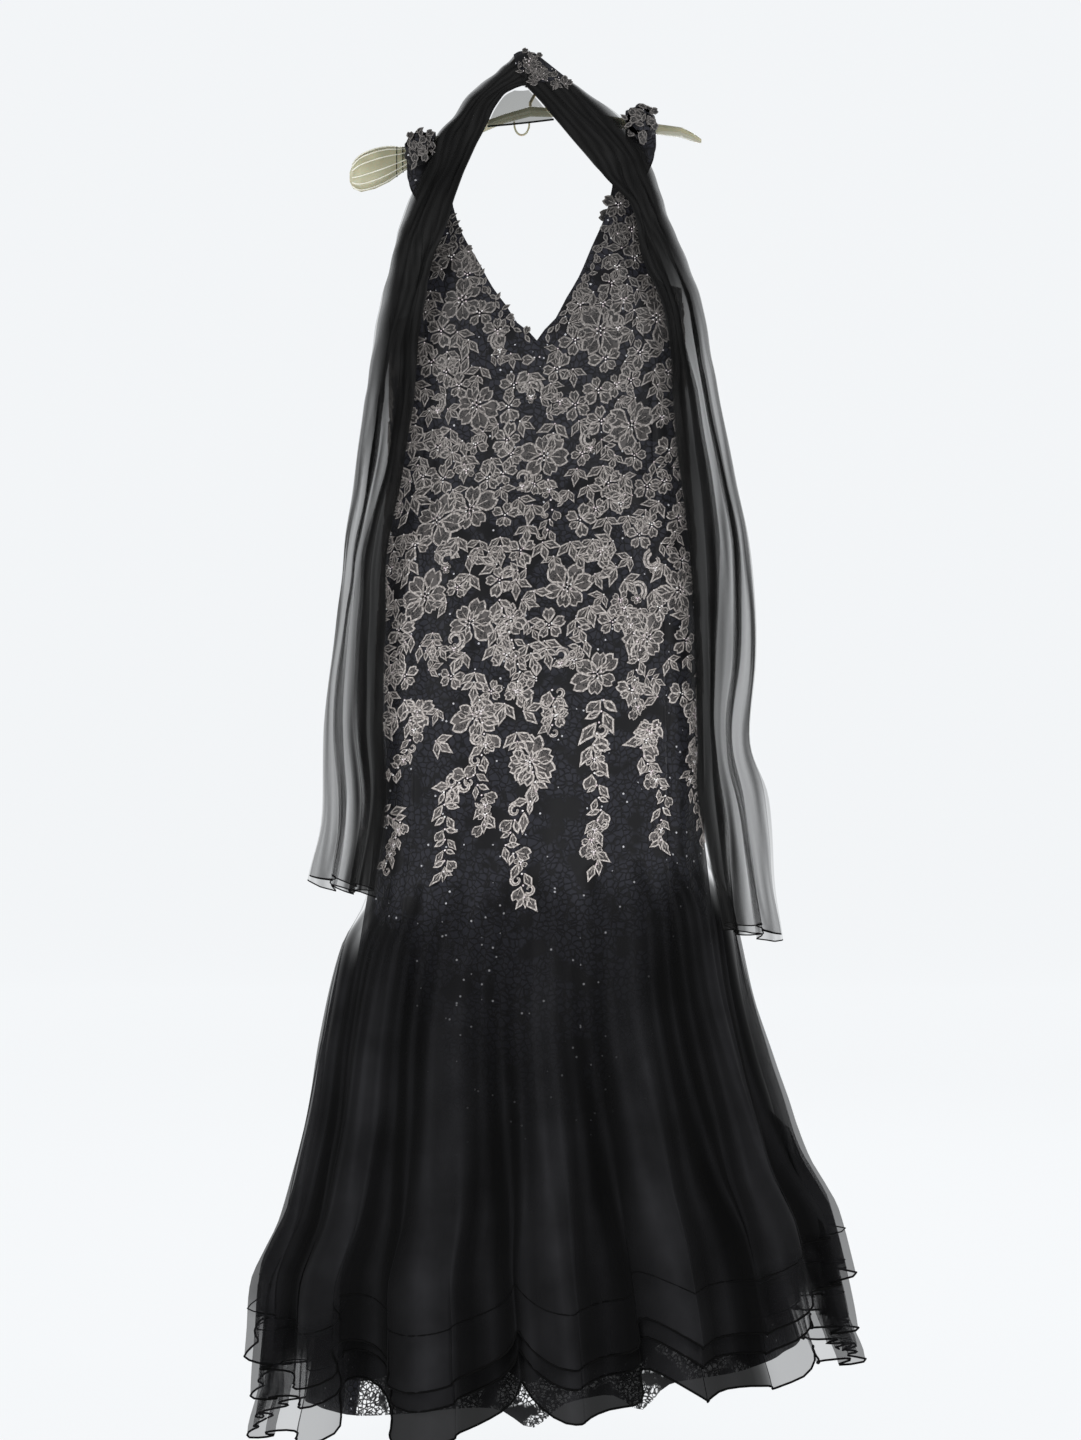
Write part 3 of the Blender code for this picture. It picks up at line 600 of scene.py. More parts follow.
# %% [markdown]
# The side panels start at the armhole, and the back ones run up beside the deeper V of the back.
# The opening down the centre back is closed, so the two back panels meet there in a plain seam.

# %% Sew the side and back panels


def side_place(side, behind):
    def place(u, v):
        share = u if side * (1 if not behind else -1) > 0 else 1 - u
        angle = PRINCESS + (SIDE - PRINCESS) * share
        top = read(ARMHOLE, math.degrees(angle), 1)
        drop = top + (LACE_HEM - top) * v
        return lace_point(drop, side * (CENTRE_BACK - angle if behind else angle), SHOW_SIDE)

    return place


def back_place(side):
    def place(u, v):
        drop = STRAP_SEAM + SEAM_GAP + (LACE_HEM - STRAP_SEAM) * v
        start = CENTRE_BACK - neck_angle(BACK_NECK, drop)
        end = CENTRE_BACK - PRINCESS
        share = 1 - u if side > 0 else u
        return lace_point(drop, side * (start + (end - start) * share), SHOW_SIDE)

    return place


SIDES = (("left", -1), ("right", 1))
sheath_panels = [front_centre]
for word, side in SIDES:
    for behind in (False, True):
        bm = bmesh.new()
        sew_grid(bm, 12, SHEATH_ROWS, side_place(side, behind))
        name = f"{'back' if behind else 'front'}_side_{word}"
        sheath_panels.append(lined(finished(f"{name}_panel", bm, [SHEATH_LACE], "corded_lace", name)))
    bm = bmesh.new()
    sew_grid(bm, 20, SHEATH_ROWS, back_place(side))
    name = f"back_centre_{word}"
    sheath_panels.append(lined(finished(f"{name}_panel", bm, [SHEATH_LACE], "corded_lace", name)))
print("panels:", len(sheath_panels))

# %% [markdown]
# ## The tulle flare
#
# Three tiers of tulle are gathered on the underskirt, each a front and a back. A gathered edge
# swings out in waves, and a soft wave also leans over itself, so a point moves sideways as well as
# out. Towards the hem the waves deepen. Fine crinkles run down the cloth, because tulle never
# hangs quite smooth.

# %% Measures of the tulle
TULLE_WAVES = 14
# The flare: drop, half width, half depth and height of its waves.
TULLE_LINE = (
    (957, 201, 101, 0),
    (995, 222, 112, 2),
    (1035, 237, 121, 4),
    (1121, 257, 136, 7),
    (1217, 282, 157, 12),
    (1261, 296, 167, 14),
    (1332, 320, 184, 18),
    (1366, 339, 195, 20),
    (1396, 354, 204, 21),
    (1455, 365, 214, 22),
    (1520, 376, 222, 23),
    (1575, 381, 228, 23),
)
# Each tier: drops of its seam and hem, how far it lies inside the line of the flare at the start and
# end of a spread of drops, and how far its seam stands off the lace.
TIERS = {
    "upper": {
        "drops": (957, 1512),
        "inside": (0, 0),
        "spread": (957, 1512),
        "seam": 0.9,
    },
    "middle": {
        "drops": (1240, 1535),
        "inside": (10, 10),
        "spread": (1240, 1535),
        "seam": 1.2,
    },
    "lower": {
        "drops": (1300, 1572),
        "inside": (20, 6),
        "spread": (1515, 1575),
        "seam": 1.6,
    },
}
SWING = 62
# Where a hem is caught up: tier, degrees round the gown, half width and height.
HEM_LIFTS = (
    ("upper", -97, 24, 66),
    ("upper", 88, 22, 48),
    ("middle", -97, 20, 22),
    ("upper", -40, 7, 48),
    ("middle", -40, 7, 58),
    ("lower", -40, 6, 62),
    ("upper", 57, 7, 30),
    ("middle", 57, 7, 34),
    ("lower", 57, 6, 34),
)
HEM_SCALLOP = 5


def wave_phase(angle):
    return TULLE_WAVES * angle + 0.5 * math.sin(3 * angle + 0.7) + 0.35 * math.sin(5 * angle - 1.1)


def wave(angle):
    """The tulle's waves round the gown, from -1 in a valley to 1 on a crest, unevenly spaced."""
    return math.cos(wave_phase(angle)) * (0.85 + 0.15 * math.sin(2 * angle + 0.4))


def tulle_point(tier, drop, angle, out=0.0):
    """A point of a tulle tier, which leaves the lace at its seam and swings out to its own line."""
    shape = TIERS[tier]
    height = read(TULLE_LINE, drop, 3)
    start, end = shape["spread"]
    first, last = shape["inside"]
    inside = first + (last - first) * smooth_step((drop - start) / (end - start))
    half_width, half_depth = read(TULLE_LINE, drop, 1) - height, read(TULLE_LINE, drop, 2) - height
    free = round_the_gown(drop, angle, half_width, half_depth, height * wave(angle) - inside + out)
    lift = LACE_WALL / 2 + TULLE_WALL / 2 + shape["seam"]
    seam = lace_point(drop, angle, lift + out)
    return seam.lerp(free, smooth_step((drop - shape["drops"][0]) / SWING))


def hem_lift(tier, angle):
    lift = 0.0
    for name, middle, half, height in HEM_LIFTS:
        if name == tier:
            away = math.degrees(nearest_turn(angle - math.radians(middle))) / half
            lift += height * math.exp(-away * away)
    return lift


print("widest tulle:", 2 * TULLE_LINE[-1][1], "mm")

# %% [markdown]
# Real net is dark where it is gathered and clear where it hangs single. Meshes that fine can't be
# modelled, so each point of a tier keeps the share of light that its cloth stops: it grows from the
# seam down, soonest over the middle of the gown, and is low in the hem band at the sides.

# %% Sew the tiers
# How far a wave leans over itself at the hem, in millimetres.
LEAN_OVER = 20
CRINKLE = 1.5
# Share of a tier's length where the thick gathers end and the sheer hem band begins, and the
# share over which a tier thickens below its seam.
BAND_FROM = {"upper": 0.86, "middle": 0.70, "lower": 0.68}
THICKENS = {"upper": 0.72, "middle": 0.25, "lower": 0.25}
DENSE, SHEER_RIM, SHEER_BAND = 0.975, 0.50, 0.40
# Each half of a tier covers a little less than half a turn, so that the halves don't touch.
HALF_COVERS = 0.998


def hanging(tier, angle, share):
    """A point of a tier at a share of its way from its seam to its hem."""
    top, hem = TIERS[tier]["drops"]
    nominal = top + (hem - top) * share
    lift = hem_lift(tier, angle) + PEEP_LIFT * peep(angle)
    drop = nominal + share**2 * (HEM_SCALLOP * wave(angle) - lift)
    grown = smooth_step(share / 0.9) ** 2
    side_share = 0.35 + 0.65 * abs(math.sin(angle))
    lean = LEAN_OVER * grown**2 * side_share * math.sin(2 * wave_phase(angle)) / 300
    fine = math.sin(61 * angle + 2.1 * math.sin(5 * angle) + drop / 90)
    finer = math.sin(113 * angle - drop / 60 + 1.7 * math.sin(9 * angle))
    out = CRINKLE * smooth_step(share / 0.3) * (fine + 0.5 * finer)
    return tulle_point(tier, drop, angle + lean, out)


def tier_place(tier, middle):
    def place(u, v):
        return hanging(tier, middle + SIDE * HALF_COVERS * (2 * u - 1), v)

    return place


def keep_thickness(bm, tier, middle):
    """Stores the share of light that the tulle stops, and a painted sheen on its wave crests and streaks.
    """
    kept = bm.verts.layers.float.new("thick")
    painted_fold_sheen = bm.verts.layers.float.new("fold")
    flat = bm.loops.layers.uv["cut"]
    for vert in bm.verts:
        across, share = vert.link_loops[0][flat].uv
        angle = middle + SIDE * (2 * across - 1)
        aside = abs(math.sin(angle))
        wing = smooth_step((aside - 0.62) / 0.15)
        band = smooth_step((share - BAND_FROM[tier]) / 0.05) * wing
        ragged = share + 0.03 * math.sin(23 * angle) + 0.02 * math.sin(41 * angle + 1)
        middle_of_gown = 1 - smooth_step((aside - 0.2) / 0.6)
        filled = THICKENS[tier] * (0.25 + 0.75 * middle_of_gown)
        start = 0.28 * smooth_step(ragged / 0.1) + 0.72 * smooth_step(ragged / filled)
        rim = smooth_step((aside - 0.94) / 0.05)
        dense = start * (DENSE + (SHEER_RIM - DENSE) * rim)
        vert[kept] = (1 - band) * dense + band * (SHEER_BAND + 0.1 * wave(angle))
        # Painted sheen: the colour is lightened on the crests of the waves and in fine streaks.
        broad = 0.5 + 0.5 * math.sin(wave_phase(angle) + 0.8)
        streak = 0.5 + 0.5 * math.sin(67 * angle + 2.4 * math.sin(7 * angle) + 1.5 * math.sin(share * 5))
        vert[painted_fold_sheen] = 0.1 + 0.8 * broad**2 * smooth_step(share / 0.3) + 0.5 * streak**3


HALVES = (("front", 0.0), ("back", math.pi))
for tier in TIERS:
    for half, middle in HALVES:
        bm = bmesh.new()
        sew_grid(bm, 190, 44 if tier == "upper" else 26, tier_place(tier, middle))
        keep_thickness(bm, tier, middle)
        name = f"tulle_{tier}_{half}"
        finished(f"{name}_sheet", bm, [TULLE], "black_tulle", name)

# %% [markdown]
# The hems are stiffened: a cord is rolled into the edge, and a second one marks the top of the
# sheer band. A cord is a small ring of points that is extruded from place to place along the hem.

# %% Roll the hem cords
CORD_SIDES = 5


def cord_through(bm, points, radius):
    """A round cord through a line of points, its ring extruded from one to the next."""
    last = len(points) - 1
    ring = bmesh.ops.create_circle(bm, segments=CORD_SIDES, radius=radius * MM)["verts"]
    facing = Vector((0, 0, 1))
    along = (points[1] - points[0]).normalized()
    turn = facing.rotation_difference(along).to_matrix()
    for vert in ring:
        vert.co = points[0] + turn @ vert.co
    for i in range(1, last + 1):
        ahead = points[min(i + 1, last)] - points[i - 1]
        if ahead.length < 1e-7:
            continue
        edges = [e for e in {e for v in ring for e in v.link_edges} if all(v in ring for v in e.verts)]
        grown = bmesh.ops.extrude_edge_only(bm, edges=edges)["geom"]
        turn = along.rotation_difference(ahead.normalized()).to_matrix()
        ring = [v for v in grown if isinstance(v, bmesh.types.BMVert)]
        for vert in ring:
            vert.co = points[i] + turn @ (vert.co - points[i - 1])
        along = ahead.normalized()


def across_line(place, share, steps):
    """Points from one side of a surface to the other, at one share of its way down."""
    return [place(i / steps, share) for i in range(steps + 1)]


def joined_cords(name, lines, look, slot):
    """Several cords as one piece. Each line is (points, radius in millimetres)."""
    bm = bmesh.new()
    for points, radius in lines:
        strand = bmesh.new()
        cord_through(strand, points, radius)
        loose = bpy.data.meshes.new("strand")
        strand.to_mesh(loose)
        strand.free()
        bm.from_mesh(loose)
        bpy.data.meshes.remove(loose)
    bmesh.ops.recalc_face_normals(bm, faces=bm.faces)
    return finished(name, bm, [look], slot)


def cord_look():
    made, tree, shader = new_look("black hem cord", 0.8, specular=0.04)
    ripple = shared(tree, NET_RIPPLE, "Ripple", Bands=260, Bend=1)
    colour = mixed(tree, (0.001, 0.001, 0.001), (0.005, 0.005, 0.005), ripple)
    feed(tree, shader, {"Base Color": colour, "Normal": bump(tree, ripple, 0.4, 0.0004)})
    return made


HEM_CORD = cord_look()
HEM_STEPS = 150
for tier in TIERS:
    for half, middle in HALVES:
        place = tier_place(tier, middle)
        cords = ((1.0, 1.3), (BAND_FROM[tier] + 0.03, 0.8))
        hem_lines = [(across_line(place, share, HEM_STEPS), radius) for share, radius in cords]
        name = f"tulle_{tier}_{half}"
        joined_cords(f"{name}_cords", hem_lines, HEM_CORD, "black_tulle")

# %% [markdown]
# ## Corded flowers: the single shapes
#
# The taupe flowers are cut from a net, outlined with a sewn-on cord and beaded. A painted pattern
# would look flat from the side, so each petal is a small real shape. It starts as a circle that is
# stretched and narrowed. One inset raises the crest of the cord round it, a second one comes down
# to the net inside, and a poke joins the net in the middle.

# %% Cut one petal, one leaf, one scroll and one bead
# Places of the net and the bead in a flower's materials, after the cord.
FILL, BEAD = 1, 2
CORD_WIDE = 1.8
CORD_HIGH = 1.1


def kept_piece(name, bm):
    mesh = bpy.data.meshes.new(name)
    bm.to_mesh(mesh)
    bm.free()
    mesh.shade_smooth()
    return mesh


def narrowed(share, root, tip):
    """Width of a petal at a share of its length, from a narrow root to a round or pointed tip."""
    from_root = root + (1 - root) * smooth_step(share / 0.5)
    return from_root * (1 - (1 - tip) * smooth_step((share - 0.45) / 0.55))


def cut_petal(name, length, width, root, tip, vein, segments=12, notch=0.0):
    """A petal in millimetres, its root at the origin and its tip towards +Y, notched or pointed."""
    bm = bmesh.new()
    rim = bmesh.ops.create_circle(bm, cap_ends=True, segments=segments, radius=0.5)["verts"]
    bmesh.ops.scale(bm, verts=rim, vec=(width, length, 1))
    bmesh.ops.translate(bm, verts=rim, vec=(0, length / 2, 0))
    for vert in rim:
        vert.co.x *= narrowed(vert.co.y / length, root, tip)
        if vert.co.y > 0.9 * length:
            vert.co.y -= notch * math.exp(-((vert.co.x / (0.12 * width)) ** 2))
    petal = bm.faces[:]
    if petal[0].normal.z < 0:
        bmesh.ops.reverse_faces(bm, faces=petal)
    bmesh.ops.inset_individual(bm, faces=petal, thickness=CORD_WIDE / 2, depth=CORD_HIGH)
    bmesh.ops.inset_individual(bm, faces=petal, thickness=CORD_WIDE / 2, depth=-CORD_HIGH * 0.7)
    inside = bmesh.ops.poke(bm, faces=petal)["faces"]
    for face in inside:
        face.material_index = FILL
    if vein:
        strip = bmesh.ops.create_grid(bm, x_segments=2, y_segments=3, size=0.5)["verts"]
        for vert in strip:
            vert.co.z = CORD_HIGH * (1.0 if abs(vert.co.x) < 0.1 else 0.2)
        bmesh.ops.scale(bm, verts=strip, vec=(1.0, length * 0.42, 1))
        bmesh.ops.translate(bm, verts=strip, vec=(0, length * 0.36, 0))
    return kept_piece(name, bm)


def cut_scroll(name, radius, turn, width):
    """A curl between two cords: its profile is spun round, then drawn in towards its end."""
    bm = bmesh.new()
    cords = ((-0.5, 0), (-0.3, 1), (-0.1, 0.2), (0.1, 0.2), (0.3, 1), (0.5, 0))
    profile = [bm.verts.new((radius + x * width, 0, CORD_HIGH * z)) for x, z in cords]
    edges = [bm.edges.new(pair) for pair in zip(profile, profile[1:])]
    bmesh.ops.spin(bm, geom=profile + edges, cent=(0, 0, 0), axis=(0, 0, 1), angle=turn, steps=9)
    for vert in bm.verts:
        share = (math.atan2(vert.co.y, vert.co.x) % (2 * math.pi)) / turn
        vert.co.xy *= 1 - 0.62 * min(share, 1.0) ** 1.2
    for face in bm.faces:
        if max(vert.co.z for vert in face.verts) < 0.5 * CORD_HIGH:
            face.material_index = FILL
    bmesh.ops.recalc_face_normals(bm, faces=bm.faces)
    if bm.faces[:][0].normal.z < 0:
        bmesh.ops.reverse_faces(bm, faces=bm.faces)
    return kept_piece(name, bm)


def cut_bead(name, radius):
    bm = bmesh.new()
    bmesh.ops.create_icosphere(bm, subdivisions=1, radius=radius)
    bmesh.ops.translate(bm, verts=bm.verts, vec=(0, 0, radius * 0.6))
    for face in bm.faces:
        face.material_index = BEAD
    return kept_piece(name, bm)


PETAL = cut_petal("petal", 16, 12.5, 0.3, 0.85, vein=True, notch=2.8)
WIDE_PETAL = cut_petal("wide petal", 22, 18.5, 0.22, 0.85, vein=True, segments=14, notch=4.5)
LEAF = cut_petal("leaf", 22, 12, 0.4, 0.3, vein=True, notch=-2)
LEAFLET = cut_petal("leaflet", 15, 9, 0.4, 0.35, vein=False, segments=10, notch=-1)
SCROLL = cut_scroll("scroll", 11, math.radians(300), 9)
LITTLE_BEAD = cut_bead("little bead", 1.15)
shapes = (PETAL, WIDE_PETAL, LEAF, LEAFLET, SCROLL, LITTLE_BEAD)
print("shapes:", {mesh.name: len(mesh.polygons) for mesh in shapes})

# %% [markdown]
# ## Laying the shapes on the gown
#
# A shape is moved on the gown as a paper pattern would be: its own millimetres run along the
# cloth, round the oval and down, and its height stands off the cloth. From the thighs down the
# flowers lie on the first tulle.

# %% Helpers that lay a shape on the cloth
# Radius of a flower above which it takes wide petals.
WIDE_FROM = 22


def girth_step(angle, drop):
    """Millimetres along the cloth for each radian round the gown."""
    return math.hypot(read(LACE, drop, 1) * math.cos(angle), read(LACE, drop, 2) * math.sin(angle))


def outermost(drop, angle, out):
    """The cloth that shows here, moved out by some millimetres."""
    if drop <= SHEATH_END + 20:
        return lace_point(drop, angle, SHOW_SIDE + out)
    return tulle_point("upper", drop, angle, out + 1.6)


def photo_spot(across, down):
    """Angle and drop of the point of the gown's front that shows at a place in the photograph."""
    flat = on_gown_plane(across, down)
    near = 0.06
    for _ in range(3):
        share = (CAMERA_BACK - near) / CAMERA_BACK
        x = (camera.location.x + (flat.x - camera.location.x) * share) / MM
        z = (camera.location.z + (flat.z - camera.location.z) * share) / MM
        drop = LEAN * x - z
        sine = min(max((x - read(MIDDLE, drop, 1)) / read(LACE, drop, 1), -0.985), 0.985)
        near = read(LACE, drop, 2) * math.cos(math.asin(sine)) * MM
    return math.asin(sine), drop


def has_cloth(angle, drop, margin):
    """Whether the sheath covers this place: not in the neck's V, in an armhole or past the straps."""
    turned = abs(nearest_turn(angle))
    front = turned < SIDE
    from_middle = turned if front else CENTRE_BACK - turned
    step = girth_step(angle, drop)
    if drop < STRAP_SEAM + 4 + margin:
        return False
    if from_middle < neck_angle(NECK if front else BACK_NECK, drop) + margin / step:
        return False
    if from_middle > PRINCESS:
        return drop > read(ARMHOLE, math.degrees(min(from_middle, SIDE)), 1) + margin
    return True


def lay(bm, shape, spot, offset=(0, 0), turn=0.0, size=1.0, lift=0.0):
    """Sews a shape at spot (angle, drop). A turn of 0 points its tip down the gown."""
    angle, drop = spot
    step = girth_step(angle, drop)
    if not has_cloth(angle + offset[0] / step, drop + offset[1], 2):
        return
    first = len(bm.verts)
    bm.from_mesh(shape)
    bm.verts.ensure_lookup_table()
    cosine, sine = math.cos(turn) * size, math.sin(turn) * size
    for vert in bm.verts[first:]:
        x, y, z = vert.co
        across = offset[0] + y * sine - x * cosine
        down = offset[1] + y * cosine + x * sine
        vert.co = outermost(drop + down, angle + across / step, z + lift)


def blossom(bm, spot, radius, turn, chance):
    """A flower: a ring of petals and beads in the middle. A wide one has a smaller ring on it."""
    wide = radius > WIDE_FROM
    shape, length = (WIDE_PETAL, 22) if wide else (PETAL, 14)
    count = 6 if wide else 5
    for i in range(count):
        way = turn + 2 * math.pi * i / count + chance.uniform(-0.22, 0.22)
        size = 0.88 * radius / length * chance.uniform(0.72, 1.12)
        start = (radius * 0.12 * math.sin(way), radius * 0.12 * math.cos(way))
        lay(bm, shape, spot, start, way, size, 0.2 + 0.5 * (i % 2))
    if wide:
        for i in range(4):
            way = turn + 0.5 + 2 * math.pi * i / 4
            lay(bm, LEAFLET, spot, (1.5 * math.sin(way), 1.5 * math.cos(way)), way, 0.026 * radius, 1.4)
    for i in range(7 if wide else 4):
        way = 2 * math.pi * i / (6 if wide else 3)
        away = (radius * 0.12 + 1.2) if i else 0
        start = (away * math.sin(way), away * math.cos(way))
        lay(bm, LITTLE_BEAD, spot, start, 0, 1.0, 1.6 if wide else 1.1)


def sprig(bm, spot, turn, chance, pairs=2, size=1.0):
    """A short stem with leaves at both sides, a leaf at its tip and a bead at each joint."""
    for i in range(pairs):
        away = 11 * i * size
        start = (away * math.sin(turn), away * math.cos(turn))
        for hand in (1, -1):
            way = turn + hand * chance.uniform(0.75, 1.1)
            shape = LEAF if i == 0 else LEAFLET
            lay(bm, shape, spot, start, way, size * chance.uniform(0.85, 1.1), 0.3 * hand + 0.4)
        lay(bm, LITTLE_BEAD, spot, start, 0, 0.9, 1.0)
    away = 11 * (pairs - 0.7) * size
    lay(bm, LEAF, spot, (away * math.sin(turn), away * math.cos(turn)), turn, size, 0.8)


print("a place at the waist:", [round(c, 2) for c in photo_spot(540, 500)])

# %% [markdown]
# ## The pattern of the lace
#
# The flowers stand close together on the bodice and thin out over the hips, where long pendants
# of leaves hang down. The places of the flowers were read off the photograph. Between them
# leaves fill the gaps by chance, with a fixed seed so the gown is the same each time. The back
# takes the front's pattern turned round.

# %% Places of the flowers, in steps of the photograph
BIG_FLOWERS = (
    (477, 405), (470, 509), (544, 456), (567, 587), (647, 637), (600, 331), (463, 300), (530, 762),
    (424, 596), (470, 623), (597, 674), (477, 716), (678, 590), (655, 318), (436, 520), (632, 425),
)
SMALL_FLOWERS = (
    (452, 257), (468, 275), (480, 313), (442, 331), (498, 331), (432, 362), (537, 359), (514, 385),
    (447, 372), (557, 369), (509, 407), (605, 359), (611, 283), (631, 229), (618, 205), (634, 258),
    (580, 305), (623, 300), (640, 352), (667, 372), (631, 380), (598, 390), (575, 340), (575, 405),
    (601, 421), (507, 440), (437, 447), (635, 455), (668, 450), (443, 479), (505, 515), (608, 483),
    (648, 486), (580, 520), (640, 535), (677, 518), (521, 550), (600, 552), (500, 580), (416, 545),
    (511, 618), (549, 625), (612, 622), (681, 560), (684, 640), (507, 655), (452, 676), (406, 676),
    (518, 692), (555, 716), (631, 690), (681, 694), (400, 630), (649, 731), (693, 715), (418, 712),
)
SCROLLS = (
    (437, 402, 0.4), (531, 388, 2.6), (590, 440, 4.4), (522, 478, 1.2), (655, 560, 5.0), (447, 560, 3.2),
    (560, 655, 0.9), (637, 590, 2.2), (500, 342, 4.0), (617, 320, 5.6), (455, 640, 1.9), (690, 470, 0.2),
)
# A pendant hangs from its first place to its last: its places, and its leaf size.
PENDANTS = (
    (((385, 812), (402, 822), (395, 845), (384, 872)), 0.8),
    (((468, 778), (445, 792), (446, 829), (446, 850), (444, 882)), 0.95),
    (((480, 700), (486, 745), (474, 775), (486, 805), (484, 834)), 0.95),
    (((530, 762), (538, 792), (515, 820), (506, 845), (521, 862), (526, 908)), 1.0),
    (((603, 700), (594, 745), (594, 773), (600, 810), (591, 840), (598, 876)), 1.05),
    (((656, 725), (640, 748), (650, 772), (664, 796), (660, 820), (660, 850)), 0.95),
    (((693, 700), (696, 745), (688, 780), (700, 815), (704, 842)), 0.85),
    (((406, 700), (415, 730), (405, 760), (390, 782)), 0.85),
    (((552, 690), (556, 715), (548, 735)), 0.8),
    (((620, 600), (640, 650), (632, 690), (640, 716)), 0.9),
    (((548, 480), (552, 510), (545, 540)), 0.8),
    (((500, 600), (512, 640), (520, 672), (514, 700)), 0.85),
)
print("flowers:", len(BIG_FLOWERS), "big,", len(SMALL_FLOWERS), "small;", len(PENDANTS), "pendants")

# %% [markdown]
# The cord is a taupe yarn, the petals are filled with a dark net, and the beads are pale glass.
# Each look mixes two tones, as thread and glass are never one colour, and all three carry a painted
# shade that darkens them towards the shoulders, where less light falls.

# %% Mix the corded looks


def painted_shade_to_shoulders(tree, colour, top):
    """Painted shade: darkens a colour towards the shoulders, where less light falls on the gown."""
    height = node(tree, "ShaderNodeSeparateXYZ", {"Vector": object_place(tree)}, "Z")
    return mixed(tree, colour, spread(tree, height, -0.2, -0.85, top, 1), 1, blend_type="MULTIPLY")


def corded(name, low, high, scale, roughness, top, specular=0.4, net=False):
    """Cord and glass in clouds of two colours, or the net of the petals, with a painted shade down to top
    at the shoulders.
    """
    made, tree, shader = new_look(name, roughness, sheen=0.15, specular=specular)
    if net:
        height = share = shared(tree, LACE_NET, "Threads", Meshes=330, Flowers=90)
    else:
        height = cloud(tree, scale, 3)
        share = spread(tree, height, 0.35, 0.65)
    # The colour gets a painted shade towards the shoulders.
    colour = painted_shade_to_shoulders(tree, mixed(tree, low, high, share), top)
    feed(tree, shader, {"Base Color": colour, "Normal": bump(tree, height, 0.6, 0.0004)})
    return made


# The cord's two tones lie far apart: partly the yarn's own uneven colour, partly a painted sparkle of its
# shimmer.
TAUPE_CORD = corded("taupe cord", (0.17, 0.150, 0.140), (0.60, 0.555, 0.525), 420, 0.45, 0.25)
PETAL_NET = corded("petal net", (0.006, 0.005, 0.006), (0.085, 0.075, 0.072), 300, 0.6, 0.2, net=True)
GLASS_BEAD = corded("glass bead", (0.62, 0.50, 0.54), (0.80, 0.80, 0.78), 220, 0.12, 0.8, specular=0.8)
GLASS_BEAD.node_tree.nodes["Principled BSDF"].inputs["Coat Weight"].default_value = 0.6
FLOWER_LOOKS = [TAUPE_CORD, PETAL_NET, GLASS_BEAD]
print("corded looks:", [look.name for look in FLOWER_LOOKS])

# %% [markdown]
# Flowers, curls and pendants go on first, and each remembers the place that it takes. Then small
# leaves follow the neck's edges, and leaves and small flowers fill the gaps. Listed motifs
# alone would leave bare net, and chance alone would lose the pattern.

# %% Sew the flowers on
chance = random.Random(7)
BIG_RADIUS, SMALL_RADIUS = 32, 18
# The drop below which no leaves fill the gaps.
FILLED_TO = 830


def front_pattern():
    """All planned shapes of the front: a kind, a spot and its numbers."""
    plan = [("big", photo_spot(*place), BIG_RADIUS) for place in BIG_FLOWERS]
    plan += [("small", photo_spot(*place), SMALL_RADIUS) for place in SMALL_FLOWERS]
    plan += [("scroll", photo_spot(across, down), turn) for across, down, turn in SCROLLS]
    return plan


def turned_round(spot):
    """The same place on the back of the gown."""
    return (CENTRE_BACK - spot[0], spot[1])


def pendant_joint(bm, spot, way, size, number, chance):
    """What grows at one joint of a pendant: leaves that hang down at both sides, a bud or a curl."""
    hand = 1 if number % 2 else -1
    start = (2.5 * hand * math.cos(way), -2.5 * hand * math.sin(way))
    turn = way + hand * chance.uniform(0.35, 0.75)
    lay(bm, LEAF if number % 3 else WIDE_PETAL, spot, start, turn, size * chance.uniform(0.85, 1.15), 0.4)
    other = way - hand * chance.uniform(0.5, 1.3)
    kind = chance.random()
    if kind < 0.45:
        lay(bm, LEAFLET, spot, (0, 0), other, size * chance.uniform(0.9, 1.3), 0.8)
    elif kind < 0.75:
        blossom(bm, spot, 11 * size, other, chance)
    elif kind < 0.9:
        lay(bm, SCROLL, spot, (9 * math.sin(other), 9 * math.cos(other)), other, 0.62 * size, 0.6)
    lay(bm, LITTLE_BEAD, spot, (0, 0), 0, 1.2, 1.6)


def pendant(bm, places, size, behind, taken):
    """Leaves, buds and curls down a bent stem, smaller towards its end, which is one leaf."""
    spots = [photo_spot(*place) for place in places]
    if behind:
        spots = [turned_round(spot) for spot in spots]
    number = 0
    for leg, (near, far) in enumerate(zip(spots, spots[1:])):
        step = girth_step(*near)
        across, down = (far[0] - near[0]) * step, far[1] - near[1]
        way, length = math.atan2(across, down), math.hypot(across, down)
        count = max(round(length / (13 * size)), 1)
        for i in range(count):
            share = (leg + i / count) / (len(spots) - 1)
            spot = (near[0] + (far[0] - near[0]) * i / count, near[1] + down * i / count)
            swell = 1.12 - 0.4 * share + 0.12 * math.sin(9 * share)
            pendant_joint(bm, spot, way, size * swell, number, chance)
            taken.append((spot, 13))
            number += 1
    lay(bm, LEAF, spots[-1], (0, -19 * size), 0.0, 0.8 * size, 0.6)


def fullness(drop):
    """How much of the cloth the filling leaves cover."""
    return 0.8 - 0.4 * smooth_step((drop - 480) / 280) - 0.4 * smooth_step((drop - 720) / 90)


def fill_gaps(bm, taken, behind):
    """Leaves and small flowers in the gaps between the planned ones."""
    drop = STRAP_SEAM + 10.0
    while drop < FILLED_TO:
        angle = -SIDE
        while angle < SIDE:
            spot = (angle + chance.uniform(-0.02, 0.02), drop + chance.uniform(-4, 4))
            if behind:
                spot = turned_round(spot)
            local = girth_step(*spot)
            clear = all(
                math.hypot(nearest_turn(spot[0] - other[0]) * local, spot[1] - other[1]) > reach
                for other, reach in taken
            )
            if clear and chance.random() < fullness(drop):
                turn = chance.gauss(0.0, 0.9)
                if chance.random() < 0.15:
                    blossom(bm, spot, chance.uniform(12, 16), turn, chance)
                else:
                    sprig(bm, spot, turn, chance, 1 + (chance.random() < 0.3), chance.uniform(0.7, 1.0))
                taken.append((spot, 16))
            angle += 13 / max(local, 40)
        drop += 12.5


